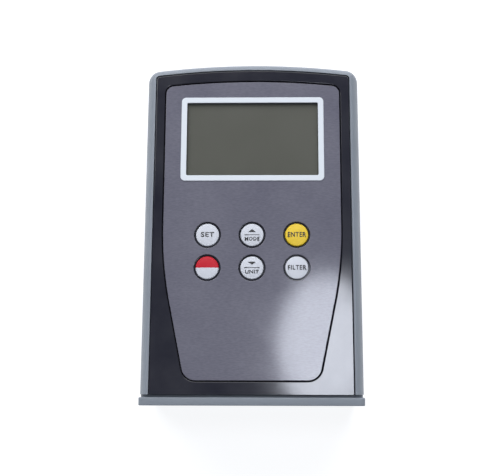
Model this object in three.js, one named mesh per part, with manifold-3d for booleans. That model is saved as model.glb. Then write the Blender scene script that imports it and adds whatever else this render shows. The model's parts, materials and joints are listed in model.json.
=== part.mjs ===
// Handheld surface roughness tester, lying on its back with the display up.
// Millimetres. +X is to the right, +Y towards the display end, +Z out of the display face.
// The origin is on the back face, under the middle of the outline.
import * as THREE from 'three';
import { mergeVertices } from 'three/addons/utils/BufferGeometryUtils.js';
import Module from 'manifold-3d';

const wasm = await Module();
wasm.setup();

// ---------------------------------------------------------------- driving dimensions

const LENGTH = 140;
const DEPTH = 48;
const END_Y = -LENGTH / 2;                       // front edge of the base
const LEAN = THREE.MathUtils.degToRad(5);        // the face leans back this far on its base
const PLAY = 0.3;                                // gap between fixed neighbours
const SLIP = 0.15;                               // radial gap of a running fit

// Housing. The seam is the edge between the grey rim and the black face.
const SEAM_HALF_WIDTH = 39.65;
const SEAM_CORNER = 1.6;
const SWELL = 3.75;                              // the sides swell this far outside the seam
const SWELL_FALL = 8;                            // over this much depth, front and back
const SEAM_TOP_Y = LENGTH / 2 - SWELL;
const ARCH_RADIUS = 310;
const WALL = 2.2;
const PARTING_Z = 24;
const LIP = { low: 20, high: 26, thick: 1.2 };   // closes the parting line from inside
const BODY_HALF_WIDTH = SEAM_HALF_WIDTH + SWELL;
const FAR = 100;                                 // past everything, for cutting tools

// Heights of the front stack
const FACE_Z = 47.7;                             // black face
const RECESS_Z = 46.7;                           // floor of the label's recess
const LABEL_Z = 47.4;
const FACE_BACK_Z = 45.95;
const FRONT_WALL_Z = 45.8;
const CAVITY_TOP_Z = 44;
const GLASS_FRONT_Z = 45.6;
const GLASS_BACK_Z = 42.6;
const BOARD_TOP_Z = 39.4;
const BOARD_BACK_Z = 37.8;

// Label
const LABEL_HALF_WIDTH = 35.3;
const LABEL_TOP_Y = 61.1;
const LABEL_END_Y = -60.5;
const LABEL_TOP_CORNER = 3.3;
const LABEL_END_CORNER = 5.5;
const LABEL_TAPER = THREE.MathUtils.degToRad(11.6);
const LABEL_SIDE_RADIUS = 150;                   // bends the straight side into the taper
const LABEL_GAP = 0.55;

// Display
const DISPLAY_Y = 36.7;
const DISPLAY_HALF_WIDTH = 26.6;
const DISPLAY_HALF_HEIGHT = 15.4;
const PRINT_BAND = 2.25;                         // width of the white frame
const PRINT_CORNER = 1.8;
const GLASS_LEDGE = { x: 29, y: 18 };            // rear glass, held under the front wall
const GLASS_GAP = 0.4;                           // round the front glass, in its opening
const BOARD = { x: 30.6, low: -21, high: 60 };

// Keys
const KEY_PITCH_X = 17.65;
const KEY_TOP_ROW_Y = -3.2;
const KEY_ROW_PITCH = 13.25;
const KEY_RADIUS = 4.57;
const KEY_RING_RADIUS = 5.35;
const KEY_FLANGE_RADIUS = 5.6;
const KEY_FLANGE_Z = 42.6;
const KEY_TOP_Z = 47.6;

// Case screws and their posts
const POSTS = [[-35.2, 58.5], [35.2, 58.5], [-35.2, -26], [35.2, -26]];
const POST_RADIUS = 4.2;
const PILOT = { radius: 1.6, top: 36 };
const CLEARANCE_RADIUS = 1.75;
const COUNTERBORE_RADIUS = 3.1;
const COUNTERBORE_Z = 6;

// Battery bay, open at the back
const CELL_PITCH = 11;
const CELL_RADIUS = 5.2;
const CELL_LENGTH = 45;
const CELL_Z = 7.9;
const SPRING = { turns: 2.5, wide: 3.6, narrow: 2.2, start: 0.5, length: 3, wire: 0.35 };
const BAY = { x: 22.5, low: -1, high: 49, top: 13.6, wall: 1.5 };
const DOOR = { x: 25, low: -6, high: 53, thick: 2 };
const DOOR_GAP = 0.35;

// Data socket in the left side
const JACK = { y: 30, z: 31, radius: 3.6, bore: 1.75 };

// Base, in its own leaning frame: y up from the work, z forwards, front edge at z = 0
const EDGE_Z = 47;
const PLATE_THICK = 3.1;
const HOUSING_END = 4.2;
const PLATE_DEPTH = 46.5;
const NECK = { top: 4.1, side: 0.5, end: 1.6, corner: 3.5 };
const SLOT = { low: -34.5, high: -4, z: -23, width: 6 };
const BASE_BOSS = { radius: 3.2, bore: 1.4, length: 16 };
const BASE_SCREWS = [[-36.5, -6.5], [36.5, -6.5], [-36.5, -43], [36.5, -43]];
const CHASSIS_SCREWS = [[-10, -33], [34.5, -23]];

// Traverse drive, in the base's frame
const DRIVE_Z = -23;
const PICKUP_Y = 10;
const SCREW_Y = 20;
const ROD_OFFSET = 8;
const TOOTH_MODULE = 0.6;
const GEAR_TEETH = 24;
const PINION_TEETH = 12;
const MOTOR_Y = SCREW_Y + (GEAR_TEETH + PINION_TEETH) * TOOTH_MODULE / 2;
const SCREW_RADIUS = 2;
const JOURNAL_RADIUS = 1.5;
const ROD_RADIUS = 1.5;
const BUSH_RADIUS = 2.6;
const PICKUP_RADIUS = 4;
const PICKUP_BORE = 3;
const TIP_X = -31;
const PIVOT_X = -12;
const LEFT_LUG = [-15, -12.5];
const RIGHT_PLATE = [28.5, 30.5];
const CARRIAGE = { x: [-4, 8], y: [5, 24.2], z: [-35, -11] };
const CHASSIS = { foot: [4.5, 6.3], top: 38, back: -38, front: -11 };
const PINION_BORE = 1.15;
const SKID_RADIUS = 2.2;
const SKID_OFFSET = 5.5;                         // from the stylus tip

const ROUND = 18;                                // sides of an ordinary round
const SMALL_ROUND = 12;

// ---------------------------------------------------------------- finishes

const FINISH = {
  shell: { color: 0x8b939c, roughness: 0.5, metalness: 0 },
  face: { color: 0x2b2c33, roughness: 0.25, metalness: 0 },
  label: { color: 0x5f606c, roughness: 0.45, metalness: 0 },
  print: { color: 0xdde0e8, roughness: 0.5, metalness: 0 },
  clear: { color: 0xb8bdb6, roughness: 0.1, metalness: 0 },
  lcd: { color: 0x5c5d56, roughness: 0.2, metalness: 0 },
  board: { color: 0x1f6b3a, roughness: 0.5, metalness: 0 },
  chip: { color: 0x202024, roughness: 0.5, metalness: 0 },
  keyWhite: { color: 0xe4e7ec, roughness: 0.4, metalness: 0 },
  keyYellow: { color: 0xf0c83c, roughness: 0.4, metalness: 0 },
  keyRed: { color: 0xd62a3c, roughness: 0.4, metalness: 0 },
  silicone: { color: 0x3a3c40, roughness: 0.8, metalness: 0 },
  dark: { color: 0x34363b, roughness: 0.6, metalness: 0 },
  steel: { color: 0xb9bcc0, roughness: 0.3, metalness: 1 },
  brass: { color: 0xc9a64f, roughness: 0.35, metalness: 1 },
  aluminium: { color: 0xc4c7ca, roughness: 0.4, metalness: 1 },
  cell: { color: 0x2f6fa8, roughness: 0.35, metalness: 0.4 },
  ruby: { color: 0xa3213d, roughness: 0.15, metalness: 0 },
};

// ---------------------------------------------------------------- solids from three.js geometry

function withoutSlivers(index) {
  const kept = [];
  for (let i = 0; i < index.length; i += 3) {
    const [a, b, c] = [index[i], index[i + 1], index[i + 2]];
    if (a !== b && b !== c && c !== a) kept.push(a, b, c);
  }
  return new Uint32Array(kept);
}

function toSolid(geometry) {
  geometry.deleteAttribute('normal');
  geometry.deleteAttribute('uv');
  const welded = mergeVertices(geometry);
  const mesh = new wasm.Mesh({
    numProp: 3,
    vertProperties: new Float32Array(welded.attributes.position.array),
    triVerts: withoutSlivers(welded.index.array),
  });
  return new wasm.Manifold(mesh);
}

function toGeometry(solid) {
  const mesh = solid.getMesh();
  const geometry = new THREE.BufferGeometry();
  geometry.setAttribute('position', new THREE.BufferAttribute(mesh.vertProperties, 3));
  geometry.setIndex(new THREE.BufferAttribute(mesh.triVerts, 1));
  geometry.computeVertexNormals();
  return geometry;
}

function join(first, ...others) {
  return others.reduce((sum, other) => sum.add(other), first);
}

function cut(solid, ...tools) {
  return tools.reduce((rest, tool) => rest.subtract(tool), solid);
}

function boxGeometry([x0, x1], [y0, y1], [z0, z1]) {
  const geometry = new THREE.BoxGeometry(x1 - x0, y1 - y0, z1 - z0);
  return geometry.translate((x0 + x1) / 2, (y0 + y1) / 2, (z0 + z1) / 2);
}

function box(x, y, z) {
  return toSolid(boxGeometry(x, y, z));
}

// Everything between two heights.
function layer(z) {
  return box([-FAR, FAR], [-FAR, FAR], z);
}

// A round bar along one axis, from one coordinate to another, about a centre line.
function bar(axis, radius, [from, to], [x, y, z], sides = ROUND) {
  const geometry = new THREE.CylinderGeometry(radius, radius, to - from, sides);
  geometry.translate(0, (from + to) / 2, 0);
  if (axis === 'x') geometry.rotateZ(-Math.PI / 2);
  if (axis === 'z') geometry.rotateX(Math.PI / 2);
  return toSolid(geometry.translate(x, y, z));
}

// A turned piece about +Y. Profile points are [radius, height].
function turned(profile, sides = ROUND) {
  const points = profile.map(([radius, height]) => new THREE.Vector2(radius, height));
  return toSolid(new THREE.LatheGeometry(points, sides));
}

// The same, about +Z.
function turnedUp(profile, sides = ROUND) {
  const points = profile.map(([radius, height]) => new THREE.Vector2(radius, height));
  return toSolid(new THREE.LatheGeometry(points, sides).rotateX(Math.PI / 2));
}

function plate(shape, [z0, z1], curveSegments = 4) {
  const options = { depth: z1 - z0, bevelEnabled: false, curveSegments };
  return toSolid(new THREE.ExtrudeGeometry(shape, options).translate(0, 0, z0));
}

// A flat slab in the base's frame: the shape's y runs backwards from the front edge.
function slab(shape, [y0, y1], curveSegments = 4) {
  const options = { depth: y1 - y0, bevelEnabled: false, curveSegments };
  const geometry = new THREE.ExtrudeGeometry(shape, options).translate(0, 0, y0);
  return toSolid(geometry.rotateX(-Math.PI / 2));
}

// A slab standing across the x axis, for gears and other turned outlines.
function disc(shape, [x0, x1], curveSegments = 4) {
  const options = { depth: x1 - x0, bevelEnabled: false, curveSegments };
  const geometry = new THREE.ExtrudeGeometry(shape, options).translate(0, 0, x0);
  return toSolid(geometry.rotateY(Math.PI / 2));
}

// ---------------------------------------------------------------- outlines

function roundedRectangle([x0, x1], [y0, y1], radius) {
  const shape = new THREE.Shape();
  shape.moveTo(x0 + radius, y0);
  shape.absarc(x1 - radius, y0 + radius, radius, -Math.PI / 2, 0);
  shape.absarc(x1 - radius, y1 - radius, radius, 0, Math.PI / 2);
  shape.absarc(x0 + radius, y1 - radius, radius, Math.PI / 2, Math.PI);
  shape.absarc(x0 + radius, y0 + radius, radius, Math.PI, 1.5 * Math.PI);
  return shape;
}

// The two top corners and the shallow arch between them, drawn from right to left.
function drawArch(shape, halfWidth, topY, archRadius, corner) {
  const archY = topY - archRadius;
  const cornerX = halfWidth - corner;
  const cornerY = archY + Math.sqrt((archRadius - corner) ** 2 - cornerX ** 2);
  const turn = Math.atan2(cornerY - archY, cornerX);
  shape.absarc(cornerX, cornerY, corner, 0, turn);
  shape.absarc(0, archY, archRadius, turn, Math.PI - turn);
  shape.absarc(-cornerX, cornerY, corner, Math.PI - turn, Math.PI);
}

// Straight sides and an arched top, running on past the base.
function housingOutline(inset, endY = END_Y - 10) {
  const shape = new THREE.Shape();
  const halfWidth = SEAM_HALF_WIDTH - inset;
  shape.moveTo(-halfWidth, endY);
  shape.lineTo(halfWidth, endY);
  const corner = Math.max(SEAM_CORNER - inset, SEAM_CORNER / 2);
  drawArch(shape, halfWidth, SEAM_TOP_Y - inset, ARCH_RADIUS - inset, corner);
  return shape;
}

// Arched top, straight sides, then a taper to a narrower round-cornered end.
function labelOutline(outset) {
  const sideRadius = LABEL_SIDE_RADIUS + outset;
  const sideX = LABEL_HALF_WIDTH - LABEL_SIDE_RADIUS;
  const taperX = sideX + sideRadius * Math.cos(LABEL_TAPER);
  const taperY = -sideRadius * Math.sin(LABEL_TAPER);
  const corner = LABEL_END_CORNER + outset;
  const cornerY = LABEL_END_Y + LABEL_END_CORNER;
  const along = (taperY + corner * Math.sin(LABEL_TAPER) - cornerY) / Math.cos(LABEL_TAPER);
  const cornerX = taperX - corner * Math.cos(LABEL_TAPER) - along * Math.sin(LABEL_TAPER);
  const shape = new THREE.Shape();
  shape.moveTo(-cornerX, cornerY - corner);
  shape.absarc(cornerX, cornerY, corner, -Math.PI / 2, -LABEL_TAPER);
  shape.absarc(sideX, 0, sideRadius, -LABEL_TAPER, 0);
  drawArch(
    shape,
    LABEL_HALF_WIDTH + outset,
    LABEL_TOP_Y + outset,
    ARCH_RADIUS + outset,
    LABEL_TOP_CORNER + outset,
  );
  shape.absarc(-sideX, 0, sideRadius, Math.PI, Math.PI + LABEL_TAPER);
  shape.absarc(-cornerX, cornerY, corner, Math.PI + LABEL_TAPER, 1.5 * Math.PI);
  return shape;
}

// Straight-flanked teeth. The first tooth stands on the outline's +x axis unless it is half turned.
function gearOutline(teeth, bore, halfTurned) {
  const pitch = teeth * TOOTH_MODULE / 2;
  const root = pitch - 1.2 * TOOTH_MODULE;
  const tip = pitch + 0.85 * TOOTH_MODULE;
  const step = 2 * Math.PI / teeth;
  const flanks = [[root, -0.34], [tip, -0.12], [tip, 0.12], [root, 0.34]];
  const points = [];
  for (let tooth = 0; tooth < teeth; tooth += 1) {
    const centre = (tooth + (halfTurned ? 0.5 : 0)) * step;
    for (const [radius, turn] of flanks) {
      const angle = centre + turn * step;
      points.push(new THREE.Vector2(radius * Math.cos(angle), radius * Math.sin(angle)));
    }
  }
  const shape = new THREE.Shape(points);
  const hole = new THREE.Path();
  hole.absarc(0, 0, bore, 0, 2 * Math.PI, true);
  shape.holes.push(hole);
  return shape;
}

// ---------------------------------------------------------------- frames shared by the pieces

const baseMatrix = new THREE.Matrix4().makeRotationX(LEAN).setPosition(0, END_Y, EDGE_Z);

// Everything below the housing's lower end, to cut a housing piece with.
function underHousing() {
  const below = boxGeometry([-FAR, FAR], [HOUSING_END - FAR, HOUSING_END], [-FAR, FAR]);
  return toSolid(below.applyMatrix4(baseMatrix));
}

// A round bar square to the base, given by its place on the base.
function baseBar(radius, span, [x, z]) {
  const geometry = new THREE.CylinderGeometry(radius, radius, span[1] - span[0], SMALL_ROUND);
  geometry.translate(x, (span[0] + span[1]) / 2, z);
  return toSolid(geometry.applyMatrix4(baseMatrix));
}

// What a base screw bites into, inside the housing.
function baseBoss(place) {
  return baseBar(BASE_BOSS.radius, [0, BASE_BOSS.length], place);
}

function baseBossBore(place) {
  return baseBar(BASE_BOSS.bore, [-1, BASE_BOSS.length - 1], place);
}

// The swelling body of the housing between two heights.
function pillow(inset, [z0, z1]) {
  const options = {
    depth: z1 - z0 - 2 * SWELL_FALL,
    bevelThickness: SWELL_FALL,
    bevelSize: SWELL,
    bevelSegments: 5,
    curveSegments: 3,
  };
  const geometry = new THREE.ExtrudeGeometry(housingOutline(inset), options);
  return toSolid(geometry.translate(0, 0, z0 + SWELL_FALL));
}

function keyPlaces() {
  const rows = [KEY_TOP_ROW_Y, KEY_TOP_ROW_Y - KEY_ROW_PITCH];
  return rows.flatMap((y) => [-KEY_PITCH_X, 0, KEY_PITCH_X].map((x) => [x, y]));
}

function keyHoles(radius, span) {
  return keyPlaces().map(([x, y]) => bar('z', radius, span, [x, y, 0], ROUND));
}

function displayRectangle(outset, corner) {
  const x = DISPLAY_HALF_WIDTH + outset;
  const y = DISPLAY_HALF_HEIGHT + outset;
  return roundedRectangle([-x, x], [DISPLAY_Y - y, DISPLAY_Y + y], corner);
}

// ---------------------------------------------------------------- housing

function frontShell() {
  const walls = cut(
    pillow(0, [0, DEPTH]),
    pillow(WALL, [WALL, CAVITY_TOP_Z]),
    layer([-1, PARTING_Z + PLAY / 2]),
    plate(housingOutline(0), [FRONT_WALL_Z, DEPTH + 1]),
  );
  const posts = POSTS.map(([x, y]) =>
    bar('z', POST_RADIUS, [PARTING_Z + PLAY / 2, CAVITY_TOP_Z + 1], [x, y, 0], SMALL_ROUND));
  const pilots = POSTS.map(([x, y]) =>
    bar('z', PILOT.radius, [PARTING_Z - 1, PILOT.top], [x, y, 0], SMALL_ROUND));
  const screws = BASE_SCREWS.slice(0, 2);
  return cut(
    join(walls, ...posts, ...screws.map(baseBoss)),
    ...pilots,
    ...screws.map(baseBossBore),
    ...keyHoles(KEY_RADIUS + 0.4, [CAVITY_TOP_Z - 1, DEPTH]),
    plate(displayRectangle(0, 1), [CAVITY_TOP_Z - 1, DEPTH]),
    bar('x', JACK.radius + SLIP, [-BODY_HALF_WIDTH - 1, -BODY_HALF_WIDTH + 6], [0, JACK.y, JACK.z]),
    underHousing(),
  );
}

// Stands up inside the front shell from the rear shell's wall.
function partingLip() {
  const band = (inset, z) => pillow(inset, [0, DEPTH]).intersect(layer(z));
  const root = band(WALL - 0.3, [LIP.low, PARTING_Z - PLAY / 2]);
  const tongue = band(WALL + SLIP, [LIP.low, LIP.high]);
  return cut(join(root, tongue), band(WALL + LIP.thick, [LIP.low - 1, LIP.high + 1]));
}

function rearShell() {
  const walls = cut(
    pillow(0, [0, DEPTH]),
    pillow(WALL, [WALL, CAVITY_TOP_Z]),
    layer([PARTING_Z - PLAY / 2, DEPTH + 1]),
  );
  const posts = POSTS.map(([x, y]) =>
    bar('z', POST_RADIUS, [1, PARTING_Z - PLAY / 2], [x, y, 0], SMALL_ROUND));
  const clearances = POSTS.map(([x, y]) =>
    bar('z', CLEARANCE_RADIUS, [-1, PARTING_Z], [x, y, 0], SMALL_ROUND));
  const counterbores = POSTS.map(([x, y]) =>
    bar('z', COUNTERBORE_RADIUS, [-1, COUNTERBORE_Z], [x, y, 0], ROUND));
  const screws = BASE_SCREWS.slice(2);
  const doorway = box(
    [-DOOR.x - DOOR_GAP, DOOR.x + DOOR_GAP],
    [DOOR.low - DOOR_GAP, DOOR.high + DOOR_GAP],
    [-1, WALL + 1],
  );
  return cut(
    join(walls, partingLip(), ...posts, ...screws.map(baseBoss)),
    ...clearances,
    ...counterbores,
    ...screws.map(baseBossBore),
    doorway,
    underHousing(),
  );
}

function facePanel() {
  return cut(
    plate(housingOutline(PLAY), [FACE_BACK_Z, FACE_Z]),
    plate(labelOutline(LABEL_GAP), [RECESS_Z, DEPTH]),
    plate(displayRectangle(0.7, 1), [FACE_BACK_Z - 1, DEPTH]),
    ...keyHoles(KEY_RADIUS + 0.25, [FACE_BACK_Z - 1, DEPTH]),
    underHousing(),
  );
}

function panelLabel() {
  return cut(
    plate(labelOutline(0), [RECESS_Z + 0.1, LABEL_Z]),
    plate(displayRectangle(0, 0.6), [RECESS_Z - 1, DEPTH]),
    ...keyHoles(KEY_RING_RADIUS, [RECESS_Z - 1, DEPTH]),
  );
}

function caseScrew() {
  return turnedUp([[0, 0], [2.8, 0], [2.8, 1.6], [1.3, 2], [1.3, 26], [0, 27]], SMALL_ROUND);
}

function dataJack() {
  const low = -BODY_HALF_WIDTH + 0.4;
  const body = join(
    bar('x', JACK.radius, [low, low + 5], [0, 0, 0]),
    box([low + 4.6, low + 12], [-4.5, 4.5], [-3.5, 3.5]),
  );
  return cut(body, bar('x', JACK.bore, [low - 1, low + 10], [0, 0, 0], SMALL_ROUND));
}

// ---------------------------------------------------------------- display and keyboard

function windowFrame() {
  return cut(
    plate(displayRectangle(PRINT_BAND, PRINT_CORNER), [LABEL_Z + 0.05, LABEL_Z + 0.3]),
    plate(displayRectangle(0, 0.6), [LABEL_Z - 1, DEPTH]),
  );
}

function displayWindow() {
  return plate(displayRectangle(0.4, 0.8), [FACE_BACK_Z, RECESS_Z - 0.05]);
}

// A block over the display's place that stands out past the rear glass by a gap.
function overGlass(gap, z) {
  return box(
    [-GLASS_LEDGE.x - gap, GLASS_LEDGE.x + gap],
    [DISPLAY_Y - GLASS_LEDGE.y - gap, DISPLAY_Y + GLASS_LEDGE.y + gap],
    z,
  );
}

// The rear glass carries the contacts. The front glass stands up into the opening.
function lcdGlass() {
  return join(
    overGlass(0, [GLASS_BACK_Z, CAVITY_TOP_Z - 0.1]),
    plate(displayRectangle(-GLASS_GAP, 0.3), [GLASS_BACK_Z + 0.5, GLASS_FRONT_Z]),
  );
}

function lcdHolder() {
  const rim = [BOARD_TOP_Z + 0.1, CAVITY_TOP_Z - 0.1];
  return cut(overGlass(1.6, rim), overGlass(0.2, [0, DEPTH]));
}

function zebraStrip() {
  return box([-27, 27], [-1, 1], [BOARD_TOP_Z + 0.1, GLASS_BACK_Z - 0.1]);
}

function mainBoard() {
  const board = box([-BOARD.x, BOARD.x], [BOARD.low, BOARD.high], [BOARD_BACK_Z, BOARD_TOP_Z]);
  const holes = [[-28.5, 12], [28.5, 12]].map(([x, y]) =>
    bar('z', 1.4, [BOARD_BACK_Z - 1, BOARD_TOP_Z + 1], [x, y, 0], SMALL_ROUND));
  return cut(board, ...holes);
}

function keypadMat() {
  const sheet = box([-26, 26], [BOARD.low + 0.3, 4], [BOARD_TOP_Z + 0.1, BOARD_TOP_Z + 1.1]);
  const domes = keyPlaces().map(([x, y]) => toSolid(
    new THREE.CylinderGeometry(2.6, 3.8, 1.6, SMALL_ROUND)
      .rotateX(Math.PI / 2)
      .translate(x, y, BOARD_TOP_Z + 1.5),
  ));
  return join(sheet, ...domes);
}

function keyCap() {
  return turnedUp([
    [0, KEY_FLANGE_Z],
    [KEY_FLANGE_RADIUS, KEY_FLANGE_Z],
    [KEY_FLANGE_RADIUS, KEY_FLANGE_Z + 0.8],
    [KEY_RADIUS, KEY_FLANGE_Z + 0.8],
    [KEY_RADIUS, KEY_TOP_Z - 0.6],
    [KEY_RADIUS - 0.4, KEY_TOP_Z - 0.2],
    [0, KEY_TOP_Z],
  ]);
}

// ---------------------------------------------------------------- battery bay

function batteryTray() {
  const { x, low, high, top, wall } = BAY;
  const floor = WALL + 0.1;
  const outside = box([-x - wall, x + wall], [low - wall, high + wall], [floor, top + wall]);
  const inside = box([-x, x], [low, high], [floor - 1, top]);
  return cut(outside, inside);
}

function cell() {
  return turned([
    [0, 0],
    [CELL_RADIUS - 0.4, 0],
    [CELL_RADIUS, 0.4],
    [CELL_RADIUS, CELL_LENGTH - 1.6],
    [CELL_RADIUS - 0.6, CELL_LENGTH - 1.2],
    [1.9, CELL_LENGTH - 1.2],
    [1.9, CELL_LENGTH],
    [0, CELL_LENGTH],
  ], 16);
}

function contactPlate() {
  return box([-21.5, 21.5], [-0.2, 0.2], [-4, 4]);
}

// A conical compression spring standing up +Y.
class ConicalCoil extends THREE.Curve {
  getPoint(t, target = new THREE.Vector3()) {
    const angle = 2 * Math.PI * SPRING.turns * t;
    const radius = THREE.MathUtils.lerp(SPRING.wide, SPRING.narrow, t);
    const height = SPRING.start + SPRING.length * t;
    return target.set(radius * Math.cos(angle), height, radius * Math.sin(angle));
  }
}

function batterySpring() {
  const wire = new THREE.Shape();
  wire.absarc(0, 0, SPRING.wire, 0, 2 * Math.PI);
  const options = { steps: 26, extrudePath: new ConicalCoil(), curveSegments: 3 };
  return toSolid(new THREE.ExtrudeGeometry(wire, options));
}

function batteryDoor() {
  const panel = box([-DOOR.x, DOOR.x], [DOOR.low, DOOR.high], [0, DOOR.thick]);
  const tongues = [-14, 14].map((x) => join(
    box([x - 5, x + 5], [DOOR.low, DOOR.low + 1.4], [DOOR.thick - 0.5, WALL + 1.15]),
    box([x - 5, x + 5], [DOOR.low - 2.4, DOOR.low + 1], [WALL + 0.15, WALL + 1.15]),
  ));
  const latch = box([-5, 5], [DOOR.high - 1.8, DOOR.high - 0.4], [DOOR.thick - 0.5, 5]);
  const fingerRest = bar('x', 8, [-8, 8], [0, DOOR.high - 7, -7], 32);
  return cut(join(panel, ...tongues, latch), fingerRest);
}

// ---------------------------------------------------------------- base

function basePlinth() {
  const neckHalf = BODY_HALF_WIDTH - NECK.side;
  const foot = roundedRectangle([-BODY_HALF_WIDTH, BODY_HALF_WIDTH], [0, PLATE_DEPTH], 1.6);
  const neckDepth = [NECK.end, PLATE_DEPTH - NECK.end];
  const neck = roundedRectangle([-neckHalf, neckHalf], neckDepth, NECK.corner);
  const body = join(slab(foot, [0, PLATE_THICK]), slab(neck, [PLATE_THICK - 1, NECK.top]));
  const half = SLOT.width / 2;
  const slot = roundedRectangle([SLOT.low, SLOT.high], [-SLOT.z - half, -SLOT.z + half], half - 0.1);
  const screws = [...BASE_SCREWS, ...CHASSIS_SCREWS];
  const holes = screws.flatMap(([x, z]) => [
    bar('y', 1.5, [-1, NECK.top + 1], [x, 0, z], SMALL_ROUND),
    bar('y', 2.8, [-1, 1.7], [x, 0, z], ROUND),
  ]);
  return cut(body, slab(slot, [-1, NECK.top + 1]), ...holes);
}

function baseScrew(length) {
  return turned([
    [0, 0.1],
    [2.5, 0.1],
    [2.5, 1.5],
    [1.2, 1.6],
    [1.2, length - 1],
    [0, length],
  ], SMALL_ROUND);
}

// ---------------------------------------------------------------- traverse drive

function driveChassis() {
  const [left, right] = [LEFT_LUG, RIGHT_PLATE];
  const { foot, top, back, front } = CHASSIS;
  const body = join(
    box([left[0], right[1]], [foot[0], 26], [back, back + 2]),
    box(left, [15.2, 25], [back, front]),
    box(right, [foot[0], top], [back, front]),
    box([left[0], left[0] + 9.5], foot, [back, back + 8]),
    box([right[0], right[0] + 10], foot, [-30, -16]),
  );
  const throughBoth = [left[0] - 1, right[1] + 1];
  const rods = [-ROD_OFFSET, ROD_OFFSET].map((offset) =>
    bar('x', ROD_RADIUS + SLIP, throughBoth, [0, SCREW_Y, DRIVE_Z + offset]));
  const bushes = bar('x', BUSH_RADIUS + SLIP, throughBoth, [0, SCREW_Y, DRIVE_Z]);
  const shaft = bar('x', 1.5, [right[0] - 1, right[1] + 1], [0, MOTOR_Y, DRIVE_Z]);
  const screws = CHASSIS_SCREWS.map(([x, z]) =>
    bar('y', BASE_BOSS.bore, [foot[0] - 1, foot[1] + 1], [x, 0, z], SMALL_ROUND));
  return cut(body, ...rods, bushes, shaft, ...screws);
}

function guideRod() {
  return bar('x', ROD_RADIUS, [LEFT_LUG[0] - 0.5, RIGHT_PLATE[1] + 0.2], [0, 0, 0]);
}

function screwBush([low, high]) {
  const ring = bar('x', BUSH_RADIUS, [low, high], [0, 0, 0]);
  return cut(ring, bar('x', JOURNAL_RADIUS + SLIP, [low - 1, high + 1], [0, 0, 0]));
}

function leadScrew() {
  return join(
    bar('x', SCREW_RADIUS, [LEFT_LUG[1] + 0.3, RIGHT_PLATE[0] - 0.3], [0, 0, 0]),
    bar('x', JOURNAL_RADIUS, [LEFT_LUG[0], RIGHT_PLATE[1] + 4.5], [0, 0, 0]),
  );
}

function screwGear() {
  return disc(gearOutline(GEAR_TEETH, JOURNAL_RADIUS + SLIP, false), [31.2, 34.2]);
}

function motorPinion() {
  return disc(gearOutline(PINION_TEETH, PINION_BORE, true), [31.2, 35]);
}

function motorShaft() {
  return bar('x', 1, [RIGHT_PLATE[0] - 1.5, 35.6], [0, 0, 0], SMALL_ROUND);
}

function driveMotor() {
  const end = RIGHT_PLATE[0] - 0.2;
  const can = bar('x', 6, [end - 18.4, end], [0, 0, 0]);
  return cut(can, bar('x', 1.3, [end - 3, end + 1], [0, 0, 0], SMALL_ROUND));
}

function pickupCarriage() {
  const { x, y, z } = CARRIAGE;
  const through = [x[0] - 1, x[1] + 1];
  return cut(
    box(x, y, z),
    bar('x', PICKUP_RADIUS + SLIP, [x[0] - 1, x[1] - 2], [0, PICKUP_Y, DRIVE_Z]),
    bar('x', SCREW_RADIUS + SLIP, through, [0, SCREW_Y, DRIVE_Z]),
    bar('x', ROD_RADIUS + SLIP, through, [0, SCREW_Y, DRIVE_Z - ROD_OFFSET]),
    bar('x', ROD_RADIUS + SLIP, through, [0, SCREW_Y, DRIVE_Z + ROD_OFFSET]),
  );
}

function pickupTube() {
  const end = CARRIAGE.x[1] - 2.3;
  const nose = TIP_X - 3;
  return cut(
    bar('x', PICKUP_RADIUS, [nose, end], [0, 0, 0]),
    bar('x', PICKUP_BORE, [nose - 1, end - 3], [0, 0, 0]),
    box([nose - 1, TIP_X + 2], [-PICKUP_RADIUS - 1, 0], [-1.2, 1.2]),
    bar('z', 0.75, [-PICKUP_RADIUS - 1, PICKUP_RADIUS + 1], [PIVOT_X, 0, 0], SMALL_ROUND),
  );
}

function pickupSkid() {
  const reach = PICKUP_Y - PICKUP_RADIUS - 0.2;
  const wheel = bar('z', SKID_RADIUS, [-1.6, 1.6], [0, SKID_RADIUS, 0], 20);
  return join(wheel, box([-1.5, 1.5], [2, reach], [-1.6, 1.6]));
}

function stylusLever() {
  const arm = bar('x', 0.8, [TIP_X - 0.8, PIVOT_X], [0, 0, 0], SMALL_ROUND);
  const hub = bar('z', 1.5, [-1.4, 1.4], [PIVOT_X, 0, 0], ROUND);
  const needle = new THREE.CylinderGeometry(0.7, 0.15, PICKUP_Y + 0.3, SMALL_ROUND);
  needle.translate(TIP_X, -(PICKUP_Y + 0.3) / 2, 0);
  return cut(
    join(arm, hub, toSolid(needle)),
    bar('z', 0.75, [-2, 2], [PIVOT_X, 0, 0], SMALL_ROUND),
  );
}

function pivotPin() {
  return bar('z', 0.6, [-3.8, 3.8], [0, 0, 0], SMALL_ROUND);
}

function travelSwitch() {
  return box([0, 2.2], [0, 6], [0, 2.8]);
}

// ---------------------------------------------------------------- assembly

const tester = new THREE.Group();
const base = new THREE.Group();
base.rotation.x = LEAN;
base.position.set(0, END_Y, EDGE_Z);
tester.add(base);

function place(group, name, solid, finish, [x, y, z] = [0, 0, 0]) {
  const mesh = new THREE.Mesh(toGeometry(solid), new THREE.MeshStandardMaterial(FINISH[finish]));
  mesh.name = name;
  mesh.position.set(x, y, z);
  group.add(mesh);
  return mesh;
}

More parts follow.
